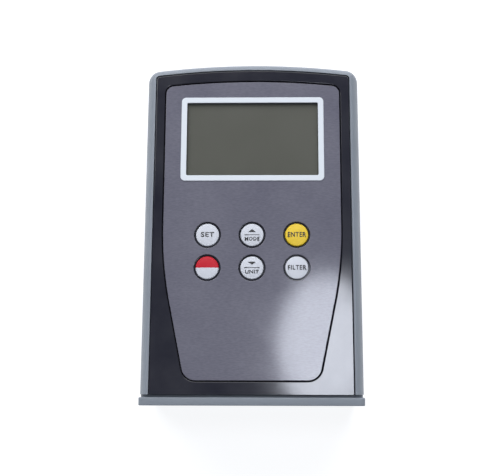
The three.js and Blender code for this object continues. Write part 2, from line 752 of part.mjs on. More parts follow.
place(tester, 'rear_shell', rearShell(), 'shell');
place(tester, 'front_shell', frontShell(), 'shell');
place(tester, 'face_panel', facePanel(), 'face');
place(tester, 'panel_label', panelLabel(), 'label');
place(tester, 'window_frame', windowFrame(), 'print');
place(tester, 'display_window', displayWindow(), 'clear');
place(tester, 'lcd_glass', lcdGlass(), 'lcd');
place(tester, 'lcd_holder', lcdHolder(), 'dark');
place(tester, 'zebra_strip_upper', zebraStrip(), 'silicone', [0, DISPLAY_Y + 16, 0]);
place(tester, 'zebra_strip_lower', zebraStrip(), 'silicone', [0, DISPLAY_Y - 16, 0]);
place(tester, 'main_board', mainBoard(), 'board');
place(tester, 'processor_chip', box([-7, 7], [-5, 5], [-2, 0]), 'chip', [0, 36, BOARD_BACK_Z - 0.1]);
place(tester, 'keypad_mat', keypadMat(), 'silicone');

const KEYS = [
  ['set_key', 'keyWhite'],
  ['up_key', 'keyWhite'],
  ['start_key', 'keyYellow'],
  ['power_key', 'keyRed'],
  ['down_key', 'keyWhite'],
  ['filter_key', 'keyWhite'],
];
keyPlaces().forEach(([x, y], index) => {
  const [name, finish] = KEYS[index];
  place(tester, name, keyCap(), finish, [x, y, 0]);
});

place(tester, 'battery_tray', batteryTray(), 'dark');
place(tester, 'contact_plate_upper', contactPlate(), 'steel', [0, BAY.high - 0.25, CELL_Z]);
place(tester, 'contact_plate_lower', contactPlate(), 'steel', [0, BAY.low + 0.25, CELL_Z]);
for (let index = 0; index < 4; index += 1) {
  const x = (index - 1.5) * CELL_PITCH;
  const up = index % 2 === 0;
  const battery = place(tester, `battery_${index + 1}`, cell(), 'cell');
  battery.position.set(x, up ? BAY.low + 4.4 : BAY.high - 4.4, CELL_Z);
  battery.rotation.z = up ? 0 : Math.PI;
  const spring = place(tester, `battery_spring_${index + 1}`, batterySpring(), 'steel');
  spring.position.set(x, up ? BAY.low + 0.5 : BAY.high - 0.5, CELL_Z);
  spring.rotation.z = up ? 0 : Math.PI;
}
place(tester, 'battery_door', batteryDoor(), 'shell');

POSTS.forEach(([x, y], index) => {
  place(tester, `case_screw_${index + 1}`, caseScrew(), 'steel', [x, y, COUNTERBORE_Z - 2.1]);
});
place(tester, 'data_jack', dataJack(), 'dark', [0, JACK.y, JACK.z]);

place(base, 'base_plinth', basePlinth(), 'shell');
BASE_SCREWS.forEach(([x, z], index) => {
  place(base, `base_screw_${index + 1}`, baseScrew(14), 'steel', [x, 0, z]);
});
CHASSIS_SCREWS.forEach(([x, z], index) => {
  place(base, `chassis_screw_${index + 1}`, baseScrew(6.5), 'steel', [x, 0, z]);
});

place(base, 'drive_chassis', driveChassis(), 'aluminium');
place(base, 'guide_rod_front', guideRod(), 'steel', [0, SCREW_Y, DRIVE_Z + ROD_OFFSET]);
place(base, 'guide_rod_rear', guideRod(), 'steel', [0, SCREW_Y, DRIVE_Z - ROD_OFFSET]);
place(base, 'screw_bush_left', screwBush(LEFT_LUG), 'brass', [0, SCREW_Y, DRIVE_Z]);
place(base, 'screw_bush_right', screwBush(RIGHT_PLATE), 'brass', [0, SCREW_Y, DRIVE_Z]);
place(base, 'lead_screw', leadScrew(), 'steel', [0, SCREW_Y, DRIVE_Z]);
place(base, 'screw_gear', screwGear(), 'brass', [0, SCREW_Y, DRIVE_Z]);
place(base, 'motor_pinion', motorPinion(), 'brass', [0, MOTOR_Y, DRIVE_Z]);
place(base, 'motor_shaft', motorShaft(), 'steel', [0, MOTOR_Y, DRIVE_Z]);
place(base, 'drive_motor', driveMotor(), 'steel', [0, MOTOR_Y, DRIVE_Z]);
place(base, 'pickup_carriage', pickupCarriage(), 'aluminium');
place(base, 'pickup_tube', pickupTube(), 'steel', [0, PICKUP_Y, DRIVE_Z]);
place(base, 'pickup_skid', pickupSkid(), 'ruby', [TIP_X + SKID_OFFSET, 0, DRIVE_Z]);
place(base, 'stylus_lever', stylusLever(), 'steel', [0, PICKUP_Y, DRIVE_Z]);
place(base, 'stylus_pivot_pin', pivotPin(), 'brass', [PIVOT_X, PICKUP_Y, DRIVE_Z]);
place(base, 'home_switch', travelSwitch(), 'dark', [-9, 16, -35.7]);
place(base, 'end_switch', travelSwitch(), 'dark', [26, 8, -35.7]);

export default tester;
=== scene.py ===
import json
from math import atan2, cos, hypot, pi, radians, sin, sqrt, tan

import bmesh
import bpy
from mathutils import Matrix, Vector
from mathutils.geometry import tessellate_polygon


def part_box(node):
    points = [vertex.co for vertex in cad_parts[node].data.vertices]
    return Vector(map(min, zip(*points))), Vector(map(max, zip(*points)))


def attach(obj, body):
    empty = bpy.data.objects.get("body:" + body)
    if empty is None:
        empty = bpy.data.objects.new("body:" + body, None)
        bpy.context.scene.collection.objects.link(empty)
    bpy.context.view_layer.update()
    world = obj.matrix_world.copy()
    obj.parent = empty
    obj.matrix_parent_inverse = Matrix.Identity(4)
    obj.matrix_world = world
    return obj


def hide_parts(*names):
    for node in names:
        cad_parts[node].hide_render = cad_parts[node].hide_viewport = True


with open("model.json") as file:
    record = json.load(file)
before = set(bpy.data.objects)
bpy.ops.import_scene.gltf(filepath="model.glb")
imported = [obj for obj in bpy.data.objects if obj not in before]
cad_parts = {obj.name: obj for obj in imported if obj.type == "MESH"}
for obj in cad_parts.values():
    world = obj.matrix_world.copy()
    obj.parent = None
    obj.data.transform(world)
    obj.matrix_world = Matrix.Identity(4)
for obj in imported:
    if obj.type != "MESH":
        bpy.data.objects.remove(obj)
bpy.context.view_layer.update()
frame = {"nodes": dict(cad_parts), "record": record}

# ---------- sizes, in millimetres
# The outlines repeat the CAD model's driving dimensions, so that each fine piece fills its node.

MM = 0.001
TO_MM = 1000
MICRON = 0.000001

# The housing.
LEAN = radians(5)
SEAM_HALF_WIDTH = 39.65
SEAM_CORNER = 1.6
SEAM_TOP = 66.25
SWELL = 3.75
SWELL_FALL = 8
SWELL_MARGIN = 0.1
ARCH_RADIUS = 310
WALL = 2.2
DEPTH = 48
PARTING = 24
PARTING_GAP = 0.15
PARTING_EDGE = (0.22, 0.06)
LIP = {"gap": 0.15, "inside": 1.2, "low": 20, "high": 26}
FRONT_WALL = (44, 45.8)
WALL_HOLE_GAP = 0.4

# The screw posts.
POST_PLACES = [(-35.2, 58.5), (35.2, 58.5), (-35.2, -26), (35.2, -26)]
POST_RADIUS = 4.2
POST_ROOT = 0.5
PILOT_RADIUS = 1.6
PILOT_TOP = 36
HEAD_HOLE_RADIUS = 3.1
HEAD_HOLE_DEPTH = 6
SHANK_HOLE_RADIUS = 1.75

# The face and its label.
FACE_BACK, RECESS_FLOOR, LABEL_TOP, FACE_TOP = 45.95, 46.7, 47.4, 47.7
FACE_GAP = 0.3
FACE_EDGE = 0.35
RECESS_EDGE = 0.18
GROOVE_FLOOR = 46.15
LABEL_HALF_WIDTH = 35.3
LABEL_TOP_Y = 61.1
LABEL_END_Y = -60.5
LABEL_CORNERS = (3.3, 5.5)
LABEL_TAPER = radians(11.6)
LABEL_SIDE_RADIUS = 150
LABEL_GAP = 0.55
LABEL_EDGE = 0.16

# The display.
DISPLAY_Y = 36.7
DISPLAY_HALF = (26.6, 15.4)
PRINT_BAND = 2.25
LCD_FRONT = (43.95, 45.6)
LCD_REAR = (42.6, 43.9)
LCD_REAR_HALF = (29, 18)

# The keys.
KEY_RADIUS = 4.57
KEY_RING_RADIUS = 5.35
KEY_HOLE_RADIUS = 4.82
KEY_FLANGE_RADIUS = 5.6
KEY_FLANGE = (42.6, 43.4)
KEY_TOP = 47.6

# The battery door and the cells behind it.
DOOR_X = (-25, 25)
DOOR_Y = (-6, 53)
DOOR_GAP = 0.35
DOOR_CORNER = 1.4
DOOR_THICKNESS = 2
DOOR_EDGE = 0.3
GRIP_X = (-9, 9)
GRIP_Y = (43, 49)
RIB_Y = (44.2, 47.8)
RIB_PITCH = 2.8
TONGUE_X = 14
TONGUE_Y = (-8.4, -4.7)
TONGUE_Z = (2.35, 3.35)
BAY_Y = (-1, 49)
CELL_PITCH = 11
CELL_Z = 7.9
CELL_RADIUS = 5.2
SLEEVE_INNER_RADIUS = 4.45
SPRING_TURNS = 2.5
SPRING_RADII = (3.6, 2.2)
SPRING_FOOT = 0.5
SPRING_HEIGHT = 3
SPRING_WIRE = 0.34
SPRING_STEPS = 120

# The data socket, by the middle of its back.
JACK_X, JACK_Y, JACK_Z = -31, 30, 31
JACK_HOLE_RADIUS = 3.75
JACK_BACK_LENGTH = 7.4

# The base, in its own frame.
BASE_EDGE = (0, -70, 47)
PLATE = (86.8, 46.5, 3.1)
PLATE_CORNER = 1.6
PLATE_EDGE = 0.35
NECK = {"top": 4.1, "side": 0.5, "end": 1.6, "corner": 3.5}
HOUSING_END = 4.2
SLOT = ((-34.5, -4), (20, 26))
SLOT_CORNER = 2.9
BASE_SCREWS = [(-36.5, 6.5), (36.5, 6.5), (-36.5, 43), (36.5, 43)]
CHASSIS_SCREWS = [(-10, 33), (34.5, 23)]
BASE_SCREW_LENGTH = 14
CHASSIS_SCREW_LENGTH = 6.5

# The traverse drive and the pickup, in the base's frame.
DRIVE_DEPTH = 23
PICKUP_RISE = 10
SCREW_RISE = 20
ROD_OFFSET = 8
LUG_RIGHT = -12.5
PLATE_LEFT = 28.5
SCREW_RADIUS = 2
SCREW_LEAD = 3.5
THREAD_DEPTH = 0.35
THREAD_STEEPNESS = 6
THREAD_FLAT = 0.9
THREAD_FADE = 0.8
TIP_X = -31
PIVOT_X = -12
SKID_X = TIP_X + 5.5
SKID_RISE = 2.2


# ---------- places

BASE_FRAME = Matrix.Translation(Vector(BASE_EDGE) * MM) @ Matrix.Rotation(LEAN, 4, "X")
ALONG_X = Matrix.Rotation(pi / 2, 4, "Y")
# An outline's y then runs back from the base's front edge, and its z up from the work.
UPRIGHT = Matrix.Rotation(-pi / 2, 4, "X")


def in_base(x, rise, depth, turn=Matrix.Identity(4)):
    """A place in the base's frame: across it, up from the work, and back from its front edge."""
    return BASE_FRAME @ Matrix.Translation(Vector((x, rise, -depth)) * MM) @ turn


def housing_end(z):
    """Where the housing's lower end, which leans with the base, is at a height."""
    rise = HOUSING_END / cos(LEAN)
    return BASE_EDGE[1] + rise - (z - BASE_EDGE[2]) * tan(LEAN)


def middle_of(node):
    """The middle of a CAD node's box, as (x, y)."""
    low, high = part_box(node)
    return (low.x + high.x) / 2 / MM, (low.y + high.y) / 2 / MM


# Each key's finish, and a second one for the lower half of its cap.
KEY_FINISHES = {
    "set_key": ["key_white"],
    "up_key": ["key_white"],
    "start_key": ["key_yellow"],
    "power_key": ["key_red", "key_white"],
    "down_key": ["key_white"],
    "filter_key": ["key_white"],
}
KEY_PLACES = {key: middle_of(key) for key in KEY_FINISHES}


# ---------- outlines, as lists of (x, y)

def arc(cx, cy, radius, start, end, steps):
    turns = [start + (end - start) * i / steps for i in range(steps + 1)]
    return [(cx + radius * cos(t), cy + radius * sin(t)) for t in turns]


def circle(cx, cy, radius, steps=48):
    return arc(cx, cy, radius, 0, 2 * pi, steps)[:-1]


def rectangle(x_span, y_span):
    (x0, x1), (y0, y1) = x_span, y_span
    return [(x0, y0), (x1, y0), (x1, y1), (x0, y1)]


def rounded_rectangle(x_span, y_span, radius, steps=8):
    (x0, x1), (y0, y1) = x_span, y_span
    corners = [(x1, y0, -0.5), (x1, y1, 0), (x0, y1, 0.5), (x0, y0, 1)]
    points = []
    for x, y, turn in corners:
        cx = x - radius if x == x1 else x + radius
        cy = y - radius if y == y1 else y + radius
        points += arc(cx, cy, radius, turn * pi, (turn + 0.5) * pi, steps)
    return points


def grown(x_span, y_span, radius, outset):
    """A rounded rectangle with its sides moved outwards. The radius is the one after that."""
    (x0, x1), (y0, y1) = x_span, y_span
    return rounded_rectangle((x0 - outset, x1 + outset), (y0 - outset, y1 + outset), radius)


def arch(half_width, top, radius, corner):
    """Two corners and the shallow arch between them, from right to left."""
    cy = top - radius
    corner_x = half_width - corner
    corner_y = cy + sqrt((radius - corner) ** 2 - corner_x ** 2)
    turn = atan2(corner_y - cy, corner_x)
    return (
        arc(corner_x, corner_y, corner, 0, turn, 14)
        + arc(0, cy, radius, turn, pi - turn, 56)[1:-1]
        + arc(-corner_x, corner_y, corner, pi - turn, pi, 14)
    )


def housing_outline(outset, end_y):
    """The seam's outline, moved outwards, from the lower right end to the lower left end."""
    half = SEAM_HALF_WIDTH + outset
    corner = max(SEAM_CORNER + outset, SEAM_CORNER / 2)
    top = arch(half, SEAM_TOP + outset, ARCH_RADIUS + outset, corner)
    return [(half, end_y)] + top + [(-half, end_y)]


def label_outline(outset):
    """The label's outline, moved outwards. Its curved sides taper towards the lower end."""
    side_x = LABEL_HALF_WIDTH - LABEL_SIDE_RADIUS
    side = LABEL_SIDE_RADIUS + outset
    sine, cosine = sin(LABEL_TAPER), cos(LABEL_TAPER)
    corner = LABEL_CORNERS[1] + outset
    corner_y = LABEL_END_Y + LABEL_CORNERS[1]
    along = (-side * sine + corner * sine - corner_y) / cosine
    corner_x = side_x + side * cosine - corner * cosine - along * sine
    top = arch(
        LABEL_HALF_WIDTH + outset, LABEL_TOP_Y + outset, ARCH_RADIUS + outset, LABEL_CORNERS[0] + outset
    )
    return (
        arc(corner_x, corner_y, corner, -pi / 2, -LABEL_TAPER, 16)
        + arc(side_x, 0, side, -LABEL_TAPER, 0, 20)
        + top
        + arc(-side_x, 0, side, pi, pi + LABEL_TAPER, 20)
        + arc(-corner_x, corner_y, corner, pi + LABEL_TAPER, 1.5 * pi, 16)
    )


def display_outline(outset, corner):
    half_x, half_y = DISPLAY_HALF[0] + outset, DISPLAY_HALF[1] + outset
    return rounded_rectangle((-half_x, half_x), (DISPLAY_Y - half_y, DISPLAY_Y + half_y), corner)


# ---------- mesh building

SMOOTH_ANGLE = 35


def linked(name, data):
    item = bpy.data.objects.new(name, data)
    bpy.context.scene.collection.objects.link(item)
    return item


def new_piece(name, mesh, material):
    """A new object that shows a mesh in one material."""
    mesh.materials.clear()
    mesh.materials.append(material)
    return linked(name, mesh)


def evaluated_mesh(source):
    """A copy of the mesh that an object's modifiers or its curve give."""
    bpy.context.view_layer.update()
    depsgraph = bpy.context.evaluated_depsgraph_get()
    return bpy.data.meshes.new_from_object(source.evaluated_get(depsgraph))


def shade(mesh, smooth_angle=SMOOTH_ANGLE):
    """Leaves flat faces flat, and creases the rest where they turn by more than an angle."""
    flat = [face.index for face in mesh.polygons if not face.use_smooth]
    mesh.set_sharp_from_angle(angle=radians(smooth_angle))
    for index in flat:
        mesh.polygons[index].use_smooth = False


class Builder:
    """Builds closed meshes from rings of points, walls between rings and caps over them."""

    def __init__(self, place=Matrix.Identity(4)):
        self.mesh = bmesh.new()
        self.place = place

    def ring(self, outline, z):
        points = [self.place @ Vector((x * MM, y * MM, z * MM)) for x, y in outline]
        return [self.mesh.verts.new(p) for p in points]

    def rounds(self, profile, sides=64, centre=(0, 0)):
        """A circular ring for each (radius, z) of a profile."""
        return [self.ring(circle(*centre, radius, sides), z) for radius, z in profile]

    def wall(self, first, second, closed=True):
        count = len(first)
        for i in range(count if closed else count - 1):
            j = (i + 1) % count
            self.mesh.faces.new((first[i], first[j], second[j], second[i])).smooth = True

    def walls(self, rings, closed=True):
        for first, second in zip(rings, rings[1:]):
            self.wall(first, second, closed)

    def cap(self, outer, holes=()):
        """A flat face over a ring, flat-shaded so that the rounded edge beside it stays crisp."""
        loops = [outer, *holes]
        corners = [vert for loop in loops for vert in loop]
        inverse = self.place.inverted()
        flat = [[inverse @ vert.co * TO_MM for vert in loop] for loop in loops]
        for triangle in tessellate_polygon(flat):
            self.mesh.faces.new([corners[i] for i in triangle])

    def solid(self, rings):
        """Walls between rings, with a cap over the first and the last."""
        self.walls(rings)
        self.cap(rings[0])
        self.cap(rings[-1])

    def finish(self, name, material, smooth_angle=SMOOTH_ANGLE):
        bmesh.ops.recalc_face_normals(self.mesh, faces=self.mesh.faces)
        mesh = bpy.data.meshes.new(name)
        self.mesh.to_mesh(mesh)
        self.mesh.free()
        shade(mesh, smooth_angle)
        return new_piece(name, mesh, material)


def combine(piece, operation, build):
    """Joins a builder's solids to a piece, or cuts them out of it."""
    other = build.finish("other", piece.data.materials[0])
    change = piece.modifiers.new("change", "BOOLEAN")
    change.operation = operation
    change.object = other
    result = evaluated_mesh(piece)
    piece.modifiers.clear()
    shade(result)
    piece.data = result
    bpy.data.objects.remove(other)


def quarter(radius, steps=5):
    """(how far in, how far up) along a rounded edge, from its side to its top."""
    turns = [pi / 2 * i / steps for i in range(steps + 1)]
    return [(radius * (1 - cos(t)), radius * sin(t)) for t in turns]


def plate(name, material, outer, span, edge, holes=(), place=Matrix.Identity(4)):
    """A flat piece with rounded top edges. outer and each hole give an outline for an outset."""
    build = Builder(place)
    low, high = span
    steps = [(0, low)] + [(inward, high - edge + up) for inward, up in quarter(edge)]
    outer_rings = [build.ring(outer(-inward), z) for inward, z in steps]
    hole_rings = [[build.ring(hole(inward), z) for inward, z in steps] for hole in holes]
    for rings in [outer_rings, *hole_rings]:
        build.walls(rings)
    build.cap(outer_rings[0], [rings[0] for rings in hole_rings])
    build.cap(outer_rings[-1], [rings[-1] for rings in hole_rings])
    return build.finish(name, material)


def turned(name, material, profile, place, sides=64):
    """A solid of revolution about the place's z axis. Profile steps are (radius, z)."""
    build = Builder(place)
    build.solid(build.rounds(profile, sides))
    return build.finish(name, material)


def coil(name, material, path, radius, place):
    """A round wire along a path of points."""
    curve = bpy.data.curves.new(name, "CURVE")
    curve.dimensions = "3D"
    curve.bevel_depth = radius * MM
    curve.bevel_resolution = 4
    curve.use_fill_caps = True
    spline = curve.splines.new("POLY")
    spline.points.add(len(path) - 1)
    for point, (x, y, z) in zip(spline.points, path):
        point.co = (x * MM, y * MM, z * MM, 1)
    wire = linked(name, curve)
    mesh = evaluated_mesh(wire)
    bpy.data.objects.remove(wire)
    mesh.transform(place)
    return new_piece(name, mesh, material)


def fixed(piece, body, slot, *nodes):
    """The piece rides on a body, in place of CAD nodes. The slot is not used."""
    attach(piece, body)
    if nodes:
        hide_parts(*nodes)


# ---------- materials

class Nodes:
    """A Principled material under construction, measured in metres on the object itself."""

    def __init__(self, name):
        self.material = bpy.data.materials.new(name)
        self.material.use_nodes = True
        self.tree = self.material.node_tree
        self.shader = self.tree.nodes["Principled BSDF"]
        self.place = self.tree.nodes.new("ShaderNodeTexCoord").outputs["Object"]

    def link(self, source, target):
        self.tree.links.new(source, target)

    def to_shader(self, socket, source):
        self.link(source, self.shader.inputs[socket])

    def noise(self, scale, detail, stretch=None):
        """Noise with this many grains to the metre."""
        node = self.tree.nodes.new("ShaderNodeTexNoise")
        node.inputs["Scale"].default_value = scale
        node.inputs["Detail"].default_value = detail
        source = self.place
        if stretch:
            mapping = self.tree.nodes.new("ShaderNodeMapping")
            mapping.inputs["Scale"].default_value = stretch
            self.link(self.place, mapping.inputs["Vector"])
            source = mapping.outputs["Vector"]
        self.link(source, node.inputs["Vector"])
        return node.outputs["Fac"]

    def spread(self, factor, low, high):
        """Maps the middle of a noise to a range."""
        node = self.tree.nodes.new("ShaderNodeMapRange")
        node.inputs["From Min"].default_value = 0.3
        node.inputs["From Max"].default_value = 0.7
        node.inputs["To Min"].default_value = low
        node.inputs["To Max"].default_value = high
        self.link(factor, node.inputs["Value"])
        return node.outputs["Result"]

    def colours(self, factor, first, second):
        node = self.tree.nodes.new("ShaderNodeMix")
        node.data_type = "RGBA"
        node.inputs["A"].default_value = (*first, 1)
        node.inputs["B"].default_value = (*second, 1)
        self.link(factor, node.inputs["Factor"])
        return node.outputs["Result"]

    def mottled(self, noise, colour, darker, lighter):
        """A colour that wanders between a darker and a lighter tone of itself."""
        cloud = self.spread(noise, 0, 1)
        return self.colours(cloud, mixed(colour, darker), mixed(colour, lighter, (1, 1, 1)))

    def bump(self, height, microns, below=None):
        node = self.tree.nodes.new("ShaderNodeBump")
        node.inputs["Distance"].default_value = microns * MICRON
        self.link(height, node.inputs["Height"])
        if below:
            self.link(below, node.inputs["Normal"])
        return node.outputs["Normal"]


def linear(red, green, blue):
    """A colour from its 0 to 255 screen values."""
    def channel(value):
        share = value / 255
        return ((share + 0.055) / 1.055) ** 2.4 if value > 10 else share / 12.92

    return tuple(channel(value) for value in (red, green, blue))


def mixed(colour, share, other=(0, 0, 0)):
    return tuple(c + (o - c) * share for c, o in zip(colour, other))


def moulded(name, colour, roughness, grain, depth, spread=0.03, sink=10, specular=0.5):
    """Moulded plastic: grain, slight sink marks and mottling. depth and sink are in microns."""
    nodes = Nodes(name)
    nodes.to_shader("Base Color", nodes.mottled(nodes.noise(60, detail=4), colour, spread, spread / 2))
    rubs = nodes.spread(nodes.noise(180, detail=5), roughness * 0.88, roughness * 1.15)
    nodes.to_shader("Roughness", rubs)
    waviness = nodes.bump(nodes.noise(25, detail=1), sink)
    nodes.to_shader("Normal", nodes.bump(nodes.noise(grain, detail=2), depth, waviness))
    nodes.shader.inputs["Specular IOR Level"].default_value = specular
    return nodes.material


def overlay_film(name, colour):
    """The panel's printed polycarbonate overlay: velvet grain over a slightly uneven print."""
    nodes = Nodes(name)
    base = nodes.mottled(nodes.noise(35, detail=3), colour, darker=0.04, lighter=0.03)
    fine = nodes.spread(nodes.noise(2600, detail=2, stretch=(0.25, 1, 1)), 0, 1)
    speckled = nodes.tree.nodes.new("ShaderNodeMix")
    speckled.data_type = "RGBA"
    speckled.blend_type = "SOFT_LIGHT"
    speckled.inputs["Factor"].default_value = 0.12
    nodes.link(base, speckled.inputs["A"])
    nodes.link(fine, speckled.inputs["B"])
    nodes.to_shader("Base Color", speckled.outputs["Result"])
    nodes.to_shader("Roughness", nodes.spread(nodes.noise(240, detail=4), 0.08, 0.11))
    waviness = nodes.bump(nodes.noise(25, detail=1), microns=140)
    grain = nodes.noise(4200, detail=2, stretch=(0.4, 1, 1))
    nodes.to_shader("Normal", nodes.bump(grain, microns=0.7, below=waviness))
    nodes.shader.inputs["Specular IOR Level"].default_value = 0.36
    return nodes.material


def polarised_glass(name, colour):
    """The unlit display: a slightly cloudy olive polariser under glass."""
    nodes = Nodes(name)
    tone = nodes.mottled(nodes.noise(45, detail=3), colour, darker=0.05, lighter=0.02)
    nodes.to_shader("Base Color", tone)
    nodes.to_shader("Roughness", nodes.spread(nodes.noise(900, detail=2), 0.3, 0.33))
    return nodes.material


def clear_pane(name):
    """The window over the display, see-through and faintly tinted."""
    nodes = Nodes(name)
    cloud = nodes.spread(nodes.noise(30, detail=2), 0, 1)
    nodes.to_shader("Base Color", nodes.colours(cloud, (0.125, 0.128, 0.11), (0.142, 0.145, 0.128)))
    nodes.to_shader("Roughness", nodes.spread(nodes.noise(500, detail=3), 0.06, 0.072))
    nodes.shader.inputs["Alpha"].default_value = 0.4
    return nodes.material


def metal(name, colour, roughness, stretch):
    """Turned or milled metal, with tool marks along one direction."""
    nodes = Nodes(name)
    tone = nodes.mottled(nodes.noise(90, detail=4), colour, darker=0.15, lighter=0.05)
    nodes.to_shader("Base Color", tone)
    nodes.shader.inputs["Metallic"].default_value = 1
    marks = nodes.noise(1500, detail=3, stretch=stretch)
    nodes.to_shader("Roughness", nodes.spread(marks, roughness - 0.08, roughness + 0.1))
    nodes.to_shader("Normal", nodes.bump(marks, microns=4))
    return nodes.material


KEY_LOOK = dict(roughness=0.42, grain=2600, depth=2)
PLASTICS = {
    "shell_grey": dict(colour=linear(130, 137, 147), roughness=0.42, grain=2400, depth=20, specular=0.22),
    "face_black": dict(colour=linear(29, 30, 42), roughness=0.1, grain=1200, depth=0.4, sink=80),
    "print_white": dict(colour=linear(210, 217, 226), roughness=0.45, grain=3000, depth=1, spread=0.02),
    "print_black": dict(colour=linear(14, 14, 20), roughness=0.45, grain=3000, depth=1),
    "key_white": dict(KEY_LOOK, colour=linear(200, 204, 214), specular=0.3),
    "key_yellow": dict(KEY_LOOK, colour=linear(222, 190, 44), specular=0.3),
    "key_red": dict(KEY_LOOK, colour=linear(184, 4, 34), specular=0.2),
    "board_green": dict(colour=(0.02, 0.13, 0.05), roughness=0.35, grain=1200, depth=10),
    "chip_black": dict(colour=(0.01, 0.01, 0.012), roughness=0.5, grain=3000, depth=10),
    "silicone_grey": dict(colour=(0.035, 0.037, 0.04), roughness=0.7, grain=1500, depth=10),
    "moulding_dark": dict(colour=(0.018, 0.02, 0.024), roughness=0.5, grain=2000, depth=20),
    "cell_sleeve": dict(colour=(0.02, 0.1, 0.3), roughness=0.25, grain=1500, depth=5),
    "ruby": dict(colour=(0.22, 0.006, 0.03), roughness=0.12, grain=900, depth=1),
}

MATERIALS = {name: moulded(name, **look) for name, look in PLASTICS.items()}
MATERIALS["label_grey"] = overlay_film("label_grey", linear(101, 101, 115))
MATERIALS["window_clear"] = clear_pane("window_clear")
MATERIALS["lcd_olive"] = polarised_glass("lcd_olive", linear(117, 118, 110))
MATERIALS["steel"] = metal("steel", (0.56, 0.57, 0.58), roughness=0.28, stretch=(0.15, 1, 1))
MATERIALS["brass"] = metal("brass", (0.62, 0.44, 0.16), roughness=0.3, stretch=(1, 0.15, 1))
MATERIALS["aluminium"] = metal("aluminium", (0.66, 0.67, 0.69), roughness=0.38, stretch=(1, 1, 0.15))


# ---------- housing

def ellipse_rise(steps=14):
    """(outset, how far up) from the widest part of the side to the seam."""
    turns = [pi / 2 * i / steps for i in range(steps + 1)]
    return [(SWELL * cos(t), SWELL_FALL * sin(t)) for t in turns]


def parting_edge(z, direction):
    """(outset, z) along the eased outer edge of a housing half, away from the parting line."""
    whole, part = PARTING_EDGE
    return [(SWELL - whole, z), (SWELL - part, z + direction * part), (SWELL, z + direction * whole)]


def skins(build, outside, inside):
    """A housing half's outer and inner skins, joined at the parting line. Steps are (outset, z)."""
    outer = [build.ring(housing_outline(outset, housing_end(z)), z) for outset, z in outside]
    inner = [build.ring(housing_outline(outset, housing_end(z)), z) for outset, z in inside]
    build.walls(outer, closed=False)
    build.walls(inner, closed=False)
    build.wall(outer[0], inner[0], closed=False)
    return outer, inner


def lower_end(build, outer, inner):
    """Closes the leaning lower end of a housing half, between its outer and inner rings."""
    left = [ring[-1] for ring in outer]
    right = [ring[0] for ring in outer]
    inner_right = [ring[0] for ring in inner]
    inner_left = [ring[-1] for ring in inner]
    edge = left + right[::-1] + inner_right + inner_left[::-1]
    flat = [[Vector((vert.co.x * TO_MM, vert.co.z * TO_MM, 0)) for vert in edge]]
    for triangle in tessellate_polygon(flat):
        build.mesh.faces.new([edge[i] for i in triangle])


def posts(profile):
    """One closed turned solid in each screw's place. Profile steps are (radius, z)."""
    build = Builder()
    for place in POST_PLACES:
        build.solid(build.rounds(profile, 36, place))
    return build


def jack_hole():
    """The hole in the left side for the data socket."""
    place = Matrix.Translation(Vector((-SEAM_HALF_WIDTH - SWELL, JACK_Y, JACK_Z)) * MM)
    build = Builder(place @ ALONG_X)
    build.solid(build.rounds([(JACK_HOLE_RADIUS, -4), (JACK_HOLE_RADIUS, 4)]))
    return build


def front_shell():
    build = Builder()
    low = PARTING + PARTING_GAP
    outside = parting_edge(low, 1)
    outside += [(SWELL, DEPTH - SWELL_FALL - SWELL_MARGIN)]
    outside += [(outset, DEPTH - SWELL_FALL + up) for outset, up in ellipse_rise()]
    outside += [(-0.08, DEPTH - 0.1), (-0.1, FRONT_WALL[1])]
    inside = [(SWELL - WALL, low), (SWELL - WALL, FRONT_WALL[0] - SWELL_FALL)]
    inside += [(outset - WALL, FRONT_WALL[0] - SWELL_FALL + up) for outset, up in ellipse_rise(8)[1:]]
    outer, inner = skins(build, outside, inside)
    openings = [display_outline(0, 1)]
    openings += [circle(x, y, KEY_RADIUS + WALL_HOLE_GAP) for x, y in KEY_PLACES.values()]
    tops = [build.ring(outline, FRONT_WALL[1]) for outline in openings]
    bottoms = [build.ring(outline, FRONT_WALL[0]) for outline in openings]
    for top, bottom in zip(tops, bottoms):
        build.wall(top, bottom)
    build.cap(outer[-1], tops)
    build.cap(inner[-1], bottoms)
    lower_end(build, outer, inner)
    piece = build.finish("front_shell_fine", MATERIALS["shell_grey"])
    combine(piece, "UNION", posts([(POST_RADIUS, FRONT_WALL[0] + POST_ROOT), (POST_RADIUS, low)]))
    combine(piece, "DIFFERENCE", posts([(PILOT_RADIUS, PILOT_TOP), (PILOT_RADIUS, low - 1)]))
    combine(piece, "DIFFERENCE", jack_hole())
    fixed(piece, "housing", "shell_grey", "front_shell")


